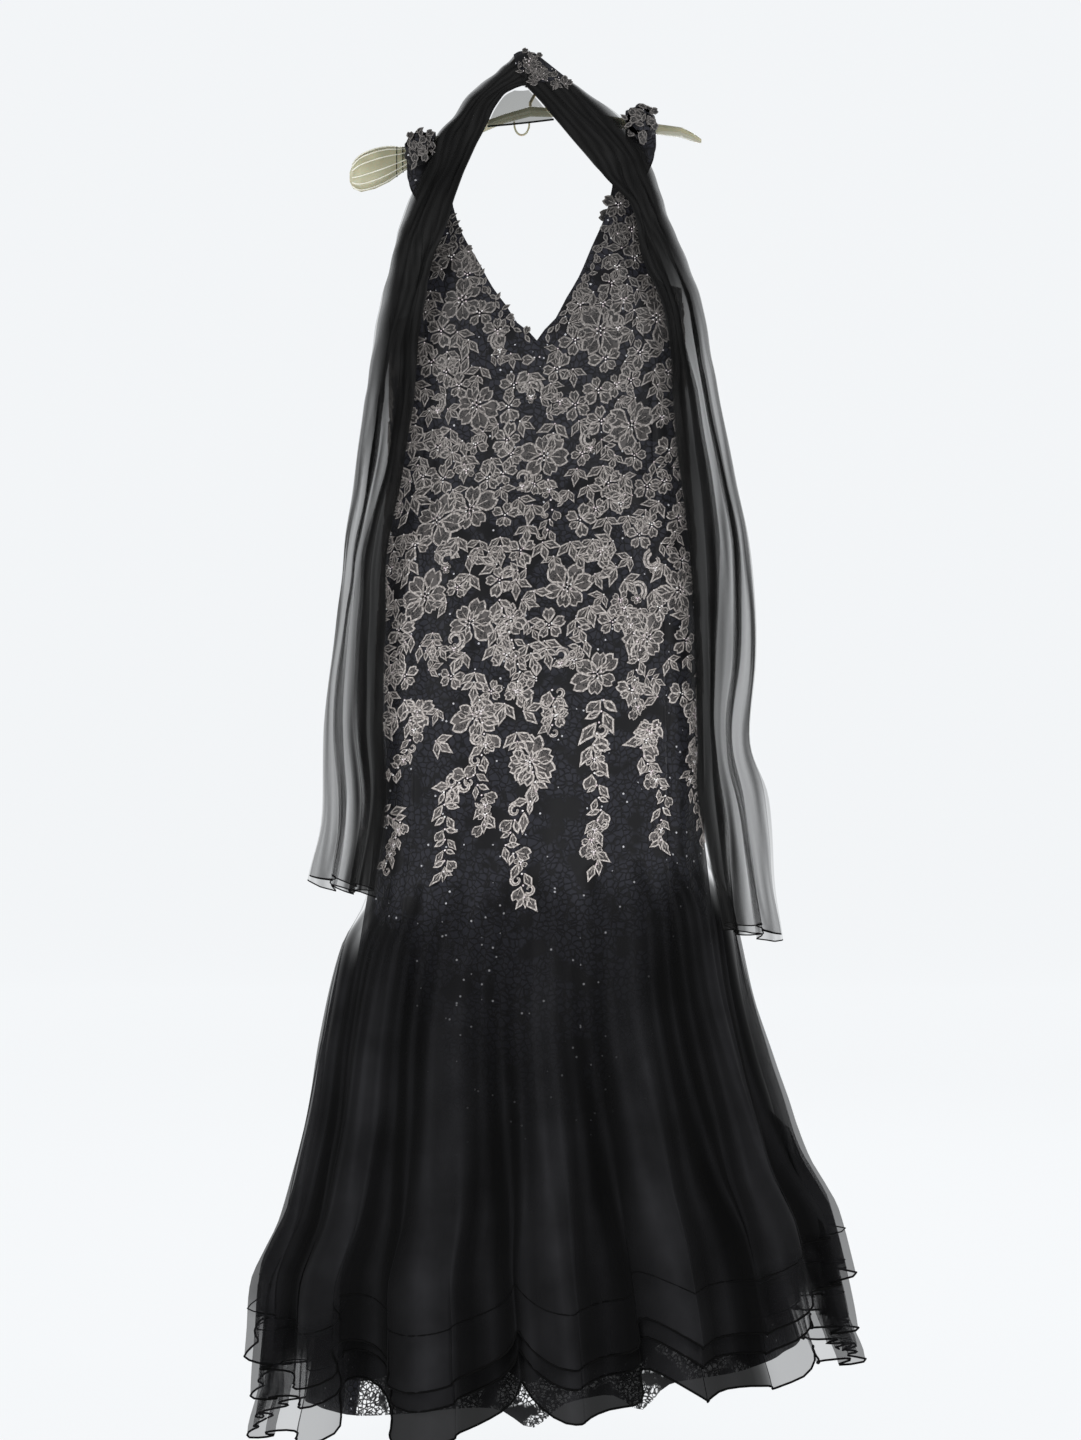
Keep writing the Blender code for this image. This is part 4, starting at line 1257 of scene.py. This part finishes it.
def neck_edge_row(bm, taken, behind):
    """Small leaves and petals along both edges of the neck, as the lace is cut along its flowers."""
    drop = STRAP_SEAM + 12.0
    table = BACK_NECK if behind else NECK
    while neck_angle(table, drop) > 0.02:
        edge = neck_angle(table, drop)
        for side in (1, -1):
            inside = edge + chance.uniform(8, 10) / girth_step(edge, drop)
            spot = (side * (CENTRE_BACK - inside if behind else inside), drop + chance.uniform(-2, 2))
            way = -side * chance.uniform(-0.6, 1.2)
            for turn in (way, way + 2.2):
                shape = chance.choice((PETAL, LEAFLET, LEAFLET))
                lay(bm, shape, spot, (0, 0), turn, 0.72, 0.6 * chance.random())
            taken.append((spot, 8))
        drop += 11


for behind in (False, True):
    bm = bmesh.new()
    taken = []
    for kind, spot, number in front_pattern():
        if behind:
            spot = turned_round(spot)
        if kind == "scroll":
            lay(bm, SCROLL, spot, (0, 0), number, 1.0, 0.4)
            blossom(bm, (spot[0], spot[1] + 10), 7, number, chance)
            taken.append((spot, 13))
        else:
            blossom(bm, spot, number, chance.uniform(0, 1), chance)
            taken.append((spot, number * 0.98))
    for places, size in PENDANTS:
        pendant(bm, places, size, behind, taken)
    neck_edge_row(bm, taken, behind)
    fill_gaps(bm, taken, behind)
    side = "back" if behind else "front"
    finished(f"flowers_{side}", bm, FLOWER_LOOKS, "corded_lace", merge=1e-7)

# %% [markdown]
# ## The stole
#
# The stole is one long piece of net, gathered into lengthwise folds and hung over the hook. Its
# cloth runs across the band and back several times, with narrow pleats on the way, so a few narrow
# lines are black where many layers lie on each other and the rest stays sheer. Near the hook the
# net is bunched and almost black.

# %% Measures of the stole
# For each place from the hook to the hem: across and height of the outer edge, of the inner edge,
# depth of both edges, how far the outer edge turns behind, depth of the pleats.
STOLE_LEFT = (
    (-0.2, 6.0, -0.2, -37, 0, -13, 8, 0),
    (-9.4, 5.2, -6, -38, 0, -13.5, 8, 0),
    (-24.8, -8, -14, -42, 0, -15, 7, 1),
    (-42.5, -24.8, -26, -50, -2, -17, 5, 2),
    (-67.3, -46, -38, -68, -8, -19, 4, 3),
    (-87.3, -75.5, -46, -87, -14, -22, 3, 3),
    (-105, -97, -58, -112, -28, -26, 3, 4),
    (-115, -131, -72, -145, -36, -36, 3, 4),
    (-128.6, -158, -82.6, -176, -40, -44, 3, 5),
    (-145, -199, -94, -217, -47, -52, 3, 5),
    (-153, -228, -105, -244, -50, -58, 3, 6),
    (-160.5, -263, -113, -275, -50, -62, 3, 6),
    (-170, -298, -118, -293, -48, -62, 3, 6),
    (-179, -343, -130, -335, -44, -60, 3, 7),
    (-186, -390, -137, -380, -40, -56, 3, 7),
    (-191, -428, -143, -428, -38, -52, 3, 8),
    (-203, -511, -157, -511, -36, -48, 3, 9),
    (-215, -594, -172, -594, -36, -46, 3, 10),
    (-223, -675, -173.5, -675, -36, -47, 3, 10),
    (-236, -783, -177, -783, -38, -48, 3, 10),
    (-238, -886, -172, -877, -42, -50, 3, 10),
    (-254, -963, -185, -983, -48, -54, 3, 10),
)
STOLE_RIGHT = (
    (0.2, 6.0, 0.2, -37, 0, -13, 8, 0),
    (8.5, 4.5, 1.5, -39, 0, -13.5, 8, 0),
    (16.5, -0.7, 3, -41, 0, -14.5, 8, 0),
    (50.7, -28.3, 19, -60, -4, -18, 5, 2),
    (81.4, -52, 40, -86, -13, -22, 3, 3),
    (111, -75.5, 73, -127, -27, -31, 3, 4),
    (137, -110, 87, -145, -33, -38, 3, 4),
    (146, -132, 101.5, -162, -38, -44, 3, 5),
    (157, -166, 120, -180.5, -43, -50, 3, 5),
    (166, -195, 134, -206, -46, -52, 3, 5),
    (180.5, -228, 147, -237, -47, -54, 3, 6),
    (193.5, -264, 160, -271, -47, -56, 3, 6),
    (206.5, -302, 168, -304, -46, -54, 3, 7),
    (216, -352, 176, -360, -43, -50, 3, 7),
    (226.6, -405, 180, -405, -42, -48, 3, 8),
    (245, -499, 190, -499, -40, -46, 3, 9),
    (264, -594, 202, -594, -40, -46, 3, 10),
    (270, -714, 207, -714, -40, -47, 3, 10),
    (262, -805, 210, -805, -42, -48, 3, 10),
    (283, -871, 211, -871, -44, -50, 3, 10),
    (289, -955, 225, -950, -50, -58, 3, 10),
    (298.5, -1032, 239.5, -1021, -58, -66, 3, 10),
)
STOLE_PLEATS = 2.5
STOLE_TURNED_SHARE = 0.14


def stole_point(table, place, u):
    """A point of the stole: place counts rows down a band, u runs from the ridge to the inner edge.

    A negative u is the narrow turned edge behind the ridge.
    """
    rows = [(i, *row) for i, row in enumerate(table)]
    ridge, inner = read_point(rows, place, 1, 5, 2), read_point(rows, place, 3, 6, 4)
    turn, pleat = read(rows, place, 7), read(rows, place, 8)
    if u < 0:
        back = ridge + (inner - ridge) * STOLE_TURNED_SHARE + Vector((0, turn, 0))
        share = 1 - (1 + u) ** 3
        point = ridge.lerp(back, -u)
        point.y = ridge.y + (back.y - ridge.y) * share
    else:
        point = ridge.lerp(inner, u)
        share = 1 - (1 - u) ** 3
        point.y = ridge.y + (inner.y - ridge.y) * share
        point.y -= pleat * (0.5 - 0.5 * math.cos(2 * math.pi * STOLE_PLEATS * u)) * min(1, 6 * u)
    return point * MM


def stole_normal(table, place, u):
    """The side of the stole that shows: forwards, and outwards and back where its edge is turned."""
    last = len(table) - 1
    near, far = max(place - 0.05, 0), min(place + 0.05, last)
    along = stole_point(table, far, u) - stole_point(table, near, u)
    low, high = max(u - 0.02, -1), min(u + 0.02, 1)
    across = stole_point(table, place, high) - stole_point(table, place, low)
    normal = along.cross(across).normalized()
    return normal if table is STOLE_LEFT else -normal


print("rows of the stole:", len(STOLE_LEFT), len(STOLE_RIGHT))

# %% [markdown]
# A band's grid takes the cloth's real way across the band, forwards and back, so its pleats are
# true layers that darken each other. Fine lines and crossed creases are kept as a share of light on
# its points, because a crease in net is more a darker line than a ridge.

# %% Sew the two bands
# The way of the cloth across the band, from its outer edge at 0 to its inner edge at 1, and back.
WAY_ACROSS = (0, 0.42, 0.34, 0.74, 0.66, 0.98, 0.68, 0.76, 0.36, 0.44, 0.05, 0.38, 0.31, 0.70, 0.63, 1.0)
LAYER = 0.55
# How far the inner edge of a tail reaches towards the gown, in millimetres.
INWARD = 12
# The right band reaches over the armhole: its place and span as shares of the band's rows, and how far.
OVER_ARMHOLE, ARMHOLE_SPAN, ARMHOLE_REACH = 0.5, 0.07, 17
WAY_STEPS = 9
BAND_STEPS = 150


def way_across(v_across):
    """Place across the band and layer, at a share of the way that the cloth takes."""
    legs = len(WAY_ACROSS) - 1
    place = min(v_across * legs, legs - 1e-6)
    leg = int(place)
    part = smooth_step(place - leg)
    return WAY_ACROSS[leg] + (WAY_ACROSS[leg + 1] - WAY_ACROSS[leg]) * part, place


def net_wander(table, place, across):
    """How the folds wander to the side on their way down, as a share of the band."""
    start = 1 if table is STOLE_LEFT else 3
    swing = 0.09 * math.sin(place * 0.55 + start) + 0.05 * math.sin(place * 1.4 + 5 * across + 2 * start)
    return swing * math.sin(math.pi * min(max(across, 0), 1))


def band_place(table):
    rows = len(table) - 1

    def place(u, v):
        spot = v * rows
        across, layer = way_across(u)
        across = min(max(across + net_wander(table, spot, across), 0.0), 1.0)
        point = stole_point(table, spot, across)
        facing = stole_normal(table, spot, across)
        reach = INWARD * smooth_step((v - 0.5) / 0.2)
        if table is STOLE_RIGHT:
            reach += ARMHOLE_REACH * math.exp(-(((v - OVER_ARMHOLE) / ARMHOLE_SPAN) ** 2))
        point.x += reach * across**2 * (1 if table is STOLE_LEFT else -1) * MM
        tail = smooth_step((v - 0.9) / 0.1)
        crinkle = 0.8 * math.sin(23 * across + spot * 1.7) + 0.5 * math.sin(spot * 6.1 + 9 * across)
        loose = smooth_step((v - 0.6) / 0.2)
        crinkle += 1.6 * loose * math.sin(14 * across - spot * 2.3) * math.sin(spot * 1.9)
        point.z -= 0.006 * tail * math.sin(7 * u + 1) + 0.003 * tail * math.sin(31 * u)
        return point + facing * (LAYER * (layer - 4) * 0.5 + crinkle) * MM

    return place


# The rows where the bunched net of the left and the right band has opened, and the rows it takes.
OPEN_LEFT, OPEN_RIGHT, OPENING = 16.5, 14, 5.5
# Dark lines of the net: where one lies across the band and how far it leans as the band sways.
NET_LINES = ((0.14, 0.6), (0.3, -0.9), (0.45, 1.4), (0.58, 0.3))
# Lines that cross each other near the hem: where one starts and how far it swings.
CROSSING_LINES = ((0.2, 0.16), (0.36, -0.2), (0.55, 0.22), (0.72, -0.14), (0.85, 0.1))


def net_line(away, phase):
    """Darkness of a line at a distance across the band, waxing and waning on its way down."""
    return math.exp(-((away / 0.03) ** 2)) * (0.5 + 0.5 * math.sin(phase))


def keep_bunch(bm, table):
    """Stores the share of light that one layer of the net stops, and its streaks of painted sheen."""
    kept = bm.verts.layers.float.new("bunch")
    painted_fold_sheen = bm.verts.layers.float.new("fold")
    flat = bm.loops.layers.uv["cut"]
    rows = len(table) - 1
    opened = OPEN_LEFT if table is STOLE_LEFT else OPEN_RIGHT
    for vert in bm.verts:
        u, v = vert.link_loops[0][flat].uv
        across = way_across(u)[0]
        bunched = smooth_step((opened - v * rows) / OPENING)
        outer = smooth_step((across - 0.04) / 0.22)
        sway = 0.08 * math.sin(5 * v + rows) + 0.05 * math.sin(13 * v)
        inner = smooth_step((across - 0.62 - sway) / 0.16)
        crossed = smooth_step((v - 0.62) / 0.2)
        lines = 0.0
        for middle, lean in NET_LINES:
            lines += net_line(across - middle - sway * lean, 9 * v + 8 * middle)
        for middle, slope in CROSSING_LINES:
            away = across - middle - slope * math.sin(11 * v + 6 * middle)
            lines += 1.1 * crossed * net_line(away, 17 * v + 5 * middle)
        fine = math.sin(61 * across + 5 * math.sin(v * 7)) + math.sin(97 * across - 8 * math.sin(v * 5 + 1))
        loose = 0.27 + 0.07 * fine + 0.38 * inner + 0.4 * lines
        vert[kept] = min(0.97, bunched * (0.32 + 0.63 * outer) + loose * (1 - bunched))
        # Painted sheen in fine streaks along the band.
        vert[painted_fold_sheen] = 0.3 + 0.7 * smooth_step(0.5 + 0.5 * math.sin(41 * across + 4 * math.sin(v * 14)))


for word, table in (("left", STOLE_LEFT), ("right", STOLE_RIGHT)):
    bm = bmesh.new()
    columns = (len(WAY_ACROSS) - 1) * WAY_STEPS
    sew_grid(bm, columns, BAND_STEPS, band_place(table), outward=word == "left")
    keep_bunch(bm, table)
    finished(f"stole_{word}_band", bm, [NET], "black_net", f"stole_{word}")

# %% [markdown]
# The hem of each tail is bound with a dark cord, and a single layer of net, the veil, hangs
# between the bands below the hook. Its lower edge is bound as well.

# %% Bind the tails and hang the veil
hem_lines = [(across_line(band_place(table), 1.0, 120), 0.8) for table in (STOLE_LEFT, STOLE_RIGHT)]
stole_hems = joined_cords("stole_hem_cords", hem_lines, HEM_CORD, "black_net")

# Across and height of the veil's left and right edges, then their depths.
VEIL = (
    (-13.5, -42.9, 3.2, -42.3, -16.0, -15.0),
    (-25.5, -50.6, 11.5, -52.0, -19.0, -17.6),
    (-37.4, -68.4, 19.0, -61.4, -22.0, -20.2),
    (-45.0, -86.8, 32.7, -78.4, -24.8, -23.5),
)
VEIL_TABLE = [(i, *row) for i, row in enumerate(VEIL)]
VEIL_BELLY = 2.5


def veil_place(u, v):
    spot = v * (len(VEIL) - 1)
    left, right = read_point(VEIL_TABLE, spot, 1, 5, 2), read_point(VEIL_TABLE, spot, 3, 6, 4)
    point = left.lerp(right, u)
    point.y += VEIL_BELLY * math.sin(math.pi * u)
    return point * MM


def veil_net():
    """The veil's single layer of net, evenly thin, with cloudy darker places."""
    made, tree, shader = new_look("black veil net", 0.85, sheen=0.1)
    mottle = shared(tree, NET_RIPPLE, "Mottle", Bands=12, Bend=2)
    colour = mixed(tree, (0.020, 0.022, 0.014), (0.05, 0.052, 0.036), mottle)
    feed(tree, shader, {"Base Color": colour, "Alpha": spread(tree, mottle, 0, 1, 0.56, 0.66)})
    return made


bm = bmesh.new()
sew_grid(bm, 16, 16, veil_place)
veil = finished("veil", bm, [veil_net()], "black_net", "stole_veil")
veil_line = across_line(veil_place, 1.0, 20)
veil_edge = joined_cords("veil_edge", [(veil_line, 1.2)], HEM_CORD, "black_net")

# %% [markdown]
# ## Hanger and hook
#
# The hanger's arms, its loop and the hook are hard and smooth, so their solids stay as they are
# and only get their finishes: cream plastic that is a little cloudy and worn, and a dull brass wire.

# %% Finish the hanger and the hook


def clouded(name, roughness, low, high, scale, metallic=0):
    """A hard finish in soft clouds of two close colours."""
    made, tree, shader = new_look(name, roughness, specular=0.5)
    feed(tree, shader, {"Metallic": metallic, "Base Color": mixed(tree, low, high, cloud(tree, scale))})
    return made


def cream_plastic():
    made, tree, shader = new_look("cream hanger plastic", 0.32, specular=0.45)
    worn = cloud(tree, 34, 4)
    colour = mixed(tree, (0.24, 0.23, 0.14), (0.50, 0.48, 0.34), worn)
    feed(tree, shader, {"Base Color": colour, "Roughness": spread(tree, worn, 0, 1, 0.25, 0.5)})
    feed(tree, shader, {"Subsurface Weight": 0.12, "Subsurface Scale": 0.004})
    feed(tree, shader, {"Normal": bump(tree, worn, 0.15, 0.001)})
    return made


PLASTIC = cream_plastic()
BRASS = clouded("dull brass wire", 0.35, (0.42, 0.33, 0.18), (0.70, 0.60, 0.38), 160, metallic=1)
# The ribs get a lighter copy of the plastic: a painted highlight where they catch the light.
RIB_HIGHLIGHT_PLASTIC = clouded("worn light ribs", 0.3, (0.55, 0.53, 0.42), (0.85, 0.84, 0.74), 60)
for name, look in (("hanger", PLASTIC), ("hanger_loop", PLASTIC), ("hook", BRASS)):
    nodes[name].data.materials.clear()
    nodes[name].data.materials.append(look)
print("finished:", PLASTIC.name, BRASS.name)

# %% [markdown]
# The broad left end of the hanger has ribs that run along it, and two dark marks where it was
# moulded. The ribs are thin cords through points of the arm's own sections, in a lighter copy of
# the plastic: a painted highlight where they catch the light.

# %% Raise the ribs
HANGER_LEFT = (
    (30, 11, 13, 0),
    (60, 13, 14, 0),
    (90, 18, 15, 0),
    (112, 22, 16, 0),
    (148, 28, 17, -2),
    (166, 42, 20, -9),
    (182, 47, 20, -16),
    (198, 44, 18, -23),
    (207, 30, 13, -27),
    (211, 12, 6, -29),
)
HANGER_SLOPE = 0.295
HANGER_CROWN_DROP = 60
HANGER_CROWN_ROUND = 5
HANGER_CROWN_SPREAD = 22
HANGER_TIP_DIP = 8
HANGER_TIP_FROM = 175


def hanger_drop(out):
    """The drop of the hanger's arms at a distance out from the crown, left arms negative."""
    reach = abs(out)
    dip = HANGER_TIP_DIP * smooth_step((reach - HANGER_TIP_FROM) / 30) if out > 0 else 0
    crown = HANGER_CROWN_ROUND * math.exp(-((reach / HANGER_CROWN_SPREAD) ** 2))
    return HANGER_CROWN_DROP + HANGER_SLOPE * reach + dip + crown


def on_left_arm(out, turn, swell=0.0):
    """A point on the left arm's rounded section. A turn of 0 faces the front, a half turn the back."""
    height, depth, y = (read(HANGER_LEFT, out, i) for i in (1, 2, 3))
    x = read(MIDDLE, HANGER_CROWN_DROP, 1) - out
    front = math.copysign(abs(math.cos(turn)) ** 0.8, math.cos(turn))
    up = math.copysign(abs(math.sin(turn)) ** 0.8, math.sin(turn))
    drop_here = LEAN * x - hanger_drop(-out)
    return Vector((x, y - (depth / 2 + swell) * front, drop_here + (height / 2 + swell) * up)) * MM


rib_lines = []
for turn in (-1.15, -0.6, -0.15, 0.3, 0.8, 1.25):
    rib_lines.append(([on_left_arm(108 + 4 * i, turn) for i in range(26)], 0.9))
joined_cords("hanger_ribs", rib_lines, RIB_HIGHLIGHT_PLASTIC, "cream_plastic")
mark_lines = []
for out in (150, 157):
    mark_lines.append(([on_left_arm(out, -2 + 0.25 * i, 0.3) for i in range(17)], 0.6))
joined_cords("hanger_marks", mark_lines, HEM_CORD, "cream_plastic")

# %% [markdown]
# ## Straps and knots
#
# Each shoulder strap goes up over its hanger arm and down behind, and is caught on the arm in a
# loose knot of the same corded lace. The strap is a grid laid over the arm, as the strap's two ends
# and the arm's height are known.

# %% Sew the straps
# Half of each strap, from its seam up to the top of the arm: distance from the arm's middle and drop
# of its under side, the same of its upper side, and how far it follows the arm's slope.
STRAP_HALVES = {
    "right": (
        (29.5, 173, 31.5, 173, 0.0),
        (25, 150, 27.5, 150, 0.3),
        (21, 125, 25, 126, 0.7),
        (19.5, 106, 24, 104, 1.0),
        (17.8, 93.0, 19, 86, 1.0),
        (0, 91.0, 0, 78, 1.0),
    ),
    "left": (
        (29.5, 173, 31.5, 173, 0.0),
        (24, 150, 27, 150, 0.3),
        (18, 130, 24, 128, 0.7),
        (13.2, 112, 22, 106, 1.0),
        (12.4, 86, 17, 84, 1.0),
        (0, 82.5, 0, 76, 1.0),
    ),
}
STRAP_EDGES_SEAM = (92.6, 130.2)
STRAP_EDGES_TOP = (112, 146)
STRAP_MIDDLE = 129
STRAP_TOP_DROP = 118
# How far the sewn ends of a strap reach down over the panels, in millimetres.
SEAM_OVERLAP = 5


def strap_place(side, half):
    """Lies on the strap's shown side, over the arm from the front to the back."""
    front = [(-under, low, -over, high, follow) for under, low, over, high, follow in half]
    stations = [*front, *half[-2::-1]]
    rows = [(i, *row) for i, row in enumerate(stations)]

    def place(u, v):
        spot = (1 - v) * (len(stations) - 1)
        share = u if side > 0 else 1 - u
        y, drop, follow = read(rows, spot, 3), read(rows, spot, 4), read(rows, spot, 5)
        rise = smooth_step((STRAP_SEAM - drop) / (STRAP_SEAM - STRAP_TOP_DROP))
        inside = STRAP_EDGES_SEAM[0] + (STRAP_EDGES_TOP[0] - STRAP_EDGES_SEAM[0]) * rise
        outside = STRAP_EDGES_SEAM[1] + (STRAP_EDGES_TOP[1] - STRAP_EDGES_SEAM[1]) * rise
        out = inside + (outside - inside) * share
        drop += follow * HANGER_SLOPE * (out - STRAP_MIDDLE) + 4 * follow * (2 * share - 1) ** 2
        drop += SEAM_OVERLAP * smooth_step((drop - STRAP_SEAM + 10) / 10)
        gather = 1.2 * rise * math.sin(26 * share + 2 * math.sin(spot))
        y += math.copysign(gather, y) - 0.1 * y * follow * (2 * share - 1) ** 2
        x = read(MIDDLE, drop, 1) + side * out
        return Vector((x, y, LEAN * x - drop - abs(gather) * follow)) * MM

    return place


for word, side in SIDES:
    bm = bmesh.new()
    sew_grid(bm, 16, 60, strap_place(side, STRAP_HALVES[word]), outward=False)
    bmesh.ops.recalc_face_normals(bm, faces=bm.faces)
    finished(f"strap_{word}_lace", bm, [SHEATH_LACE], "corded_lace", f"strap_{word}")

# %% [markdown]
# The knot is a bundle of short rolls: each is a ring of points spun round, then leaned its own way,
# so that they lie across each other as gathered lace does. Petals of the lace are laid over them.

# %% Tie the knots
# Half sizes of a knot in millimetres, and the rolls and petals that it is made of.
KNOT_HALF = (17, 11, 20)
KNOT_ROLLS, KNOT_PETALS, KNOT_PETAL_SIZE = 5, 34, 0.75


def turned_matrix(degrees, axis):
    return Matrix.Rotation(math.radians(degrees), 3, axis)


def knot(name, centre, lean, chance):
    """A bundle of rolls round a centre, with corded petals over them."""
    bm = bmesh.new()
    core = bmesh.ops.create_uvsphere(bm, u_segments=24, v_segments=14, radius=1)["verts"]
    for vert in core:
        ruck = 1 + 0.09 * math.sin(9 * math.atan2(vert.co.z, vert.co.x) + 5 * vert.co.y)
        vert.co = Vector(half * c * ruck for half, c in zip(KNOT_HALF, vert.co))
        vert.co.x += 0.25 * min(vert.co.z, 0) * lean
    for i in range(KNOT_ROLLS):
        away = 4 + 2.6 * i
        rim = bmesh.ops.create_circle(bm, segments=6, radius=2.2)["verts"]
        bmesh.ops.rotate(bm, verts=rim, cent=(0, 0, 0), matrix=turned_matrix(90, "X"))
        bmesh.ops.translate(bm, verts=rim, vec=(away, 0, 0))
        edges = list({edge for vert in rim for edge in vert.link_edges})
        before = set(bm.verts)
        bend = math.radians(chance.uniform(200, 300))
        bmesh.ops.spin(bm, geom=rim + edges, cent=(0, 0, 0), axis=(0, 1, 0), angle=bend, steps=14)
        roll = rim + [vert for vert in bm.verts if vert not in before]
        bmesh.ops.rotate(bm, verts=roll, cent=(0, 0, 0), matrix=turned_matrix(chance.uniform(0, 360), "Y"))
        bmesh.ops.translate(bm, verts=roll, vec=(0, -KNOT_HALF[1] + 0.25 * away, chance.uniform(-2, 2)))
    bmesh.ops.recalc_face_normals(bm, faces=bm.faces)
    cloth_faces = len(bm.faces)
    for i in range(KNOT_PETALS):
        turn = chance.uniform(0, 2 * math.pi)
        away = math.sqrt(chance.random()) * 0.92
        first = len(bm.verts)
        bm.from_mesh(LEAFLET if i % 3 else PETAL)
        bm.verts.ensure_lookup_table()
        spot = Vector((KNOT_HALF[0] * away * math.cos(turn), 0, KNOT_HALF[2] * away * math.sin(turn)))
        bulge = -KNOT_HALF[1] * math.sqrt(max(1 - away * away, 0)) - 2.4
        facing = chance.uniform(0, 2 * math.pi)
        for vert in bm.verts[first:]:
            x, z = vert.co.x * KNOT_PETAL_SIZE, vert.co.y * KNOT_PETAL_SIZE
            flat_x = x * math.cos(facing) - z * math.sin(facing)
            flat_z = x * math.sin(facing) + z * math.cos(facing)
            hang = 0.05 * (flat_x**2 + flat_z**2) * away
            vert.co = spot + Vector((flat_x, bulge - vert.co.z + hang, flat_z))
    for i, face in enumerate(bm.faces):
        face.material_index = face.material_index + 1 if i >= cloth_faces else 0
    for vert in bm.verts:
        vert.co = centre + vert.co * MM
    return finished(name, bm, [SHEATH_LACE, *FLOWER_LOOKS], "corded_lace", merge=1e-7)


knots = [
    knot("knot_left", on_gown_plane(421, 153) + Vector((0, -0.030, 0)), 1, random.Random(3)),
    knot("knot_right", on_gown_plane(639, 128) + Vector((0, -0.033, 0)), -1, random.Random(5)),
]

# %% [markdown]
# The middle of the stole carries a piece of the same lace, which lies over the hook. It is a grid
# on the net with a pointed lower edge, and petals are sewn on it one by one.

# %% Sew the lace on the middle of the stole
# Rows down a band, negative on the left one, and how far the lace reaches across the band there.
STOLE_LACE = (
    (-1.3, 0.35),
    (-1.0, 0.55),
    (-0.6, 0.70),
    (-0.25, 0.55),
    (0.5, 0.45),
    (1.2, 0.50),
    (1.9, 0.62),
    (2.25, 0.82),
    (2.5, 0.60),
    (2.8, 0.40),
    (3.1, 0.22),
)
STOLE_LACE_EDGE = 0.06
STOLE_PETALS, STOLE_PETAL_SIZE = 96, 0.62


def middle_lace_row(u):
    """The band under a place of the lace, its row there and how far the lace reaches across it."""
    row = STOLE_LACE[0][0] + (STOLE_LACE[-1][0] - STOLE_LACE[0][0]) * u
    return STOLE_LEFT if row < 0 else STOLE_RIGHT, abs(row), read(STOLE_LACE, row, 1)


def middle_lace_place(u, v, out=3.4):
    table, row, reach = middle_lace_row(u)
    across = STOLE_LACE_EDGE + (reach - STOLE_LACE_EDGE) * v
    return stole_point(table, row, across) + stole_normal(table, row, across) * out * MM


bm = bmesh.new()
sew_grid(bm, 44, 14, middle_lace_place)
middle_lace = finished("stole_middle_lace", bm, [SHEATH_LACE], "corded_lace", "stole_lace")
bm = bmesh.new()
chance = random.Random(11)
# The rows lie closer near the hook, so the petals are drawn towards the wide ones.
for i in range(STOLE_PETALS):
    u, v = chance.random() ** 0.5, math.sqrt(chance.random()) * 1.02
    spot = middle_lace_place(u, v, 4.0)
    table, row, _ = middle_lace_row(u)
    out = stole_normal(table, row, 0.3)
    turn = out.to_track_quat("Z", "Y").to_matrix() @ turned_matrix(chance.uniform(0, 360), "Z")
    first = len(bm.verts)
    bm.from_mesh((PETAL, LEAFLET, LITTLE_BEAD)[i % 3])
    bm.verts.ensure_lookup_table()
    for vert in bm.verts[first:]:
        vert.co = spot + turn @ vert.co * STOLE_PETAL_SIZE * MM
middle_petals = finished("stole_middle_petals", bm, FLOWER_LOOKS, "corded_lace", merge=1e-7)

# %% [markdown]
# ## Sheets of cloth
#
# Every piece of cloth is declared with the size it was cut to: the width at its widest, its length
# along the cloth, and its flat area, since none is cut as a rectangle but the straps. The sizes
# were measured along the sewn edges. Flowers and cords are sewn on, so they go with their cloth.

SHEATH_CUTS = {
    "front_panel": (0.505, 1.57, 0.44),
    "front_side": (0.123, 1.31, 0.105),
    "back_side": (0.130, 1.31, 0.108),
    "back_centre": (0.236, 1.42, 0.216),
}
for panel in sheath_panels:
    kind = next(word for word in SHEATH_CUTS if panel.name.startswith(word))
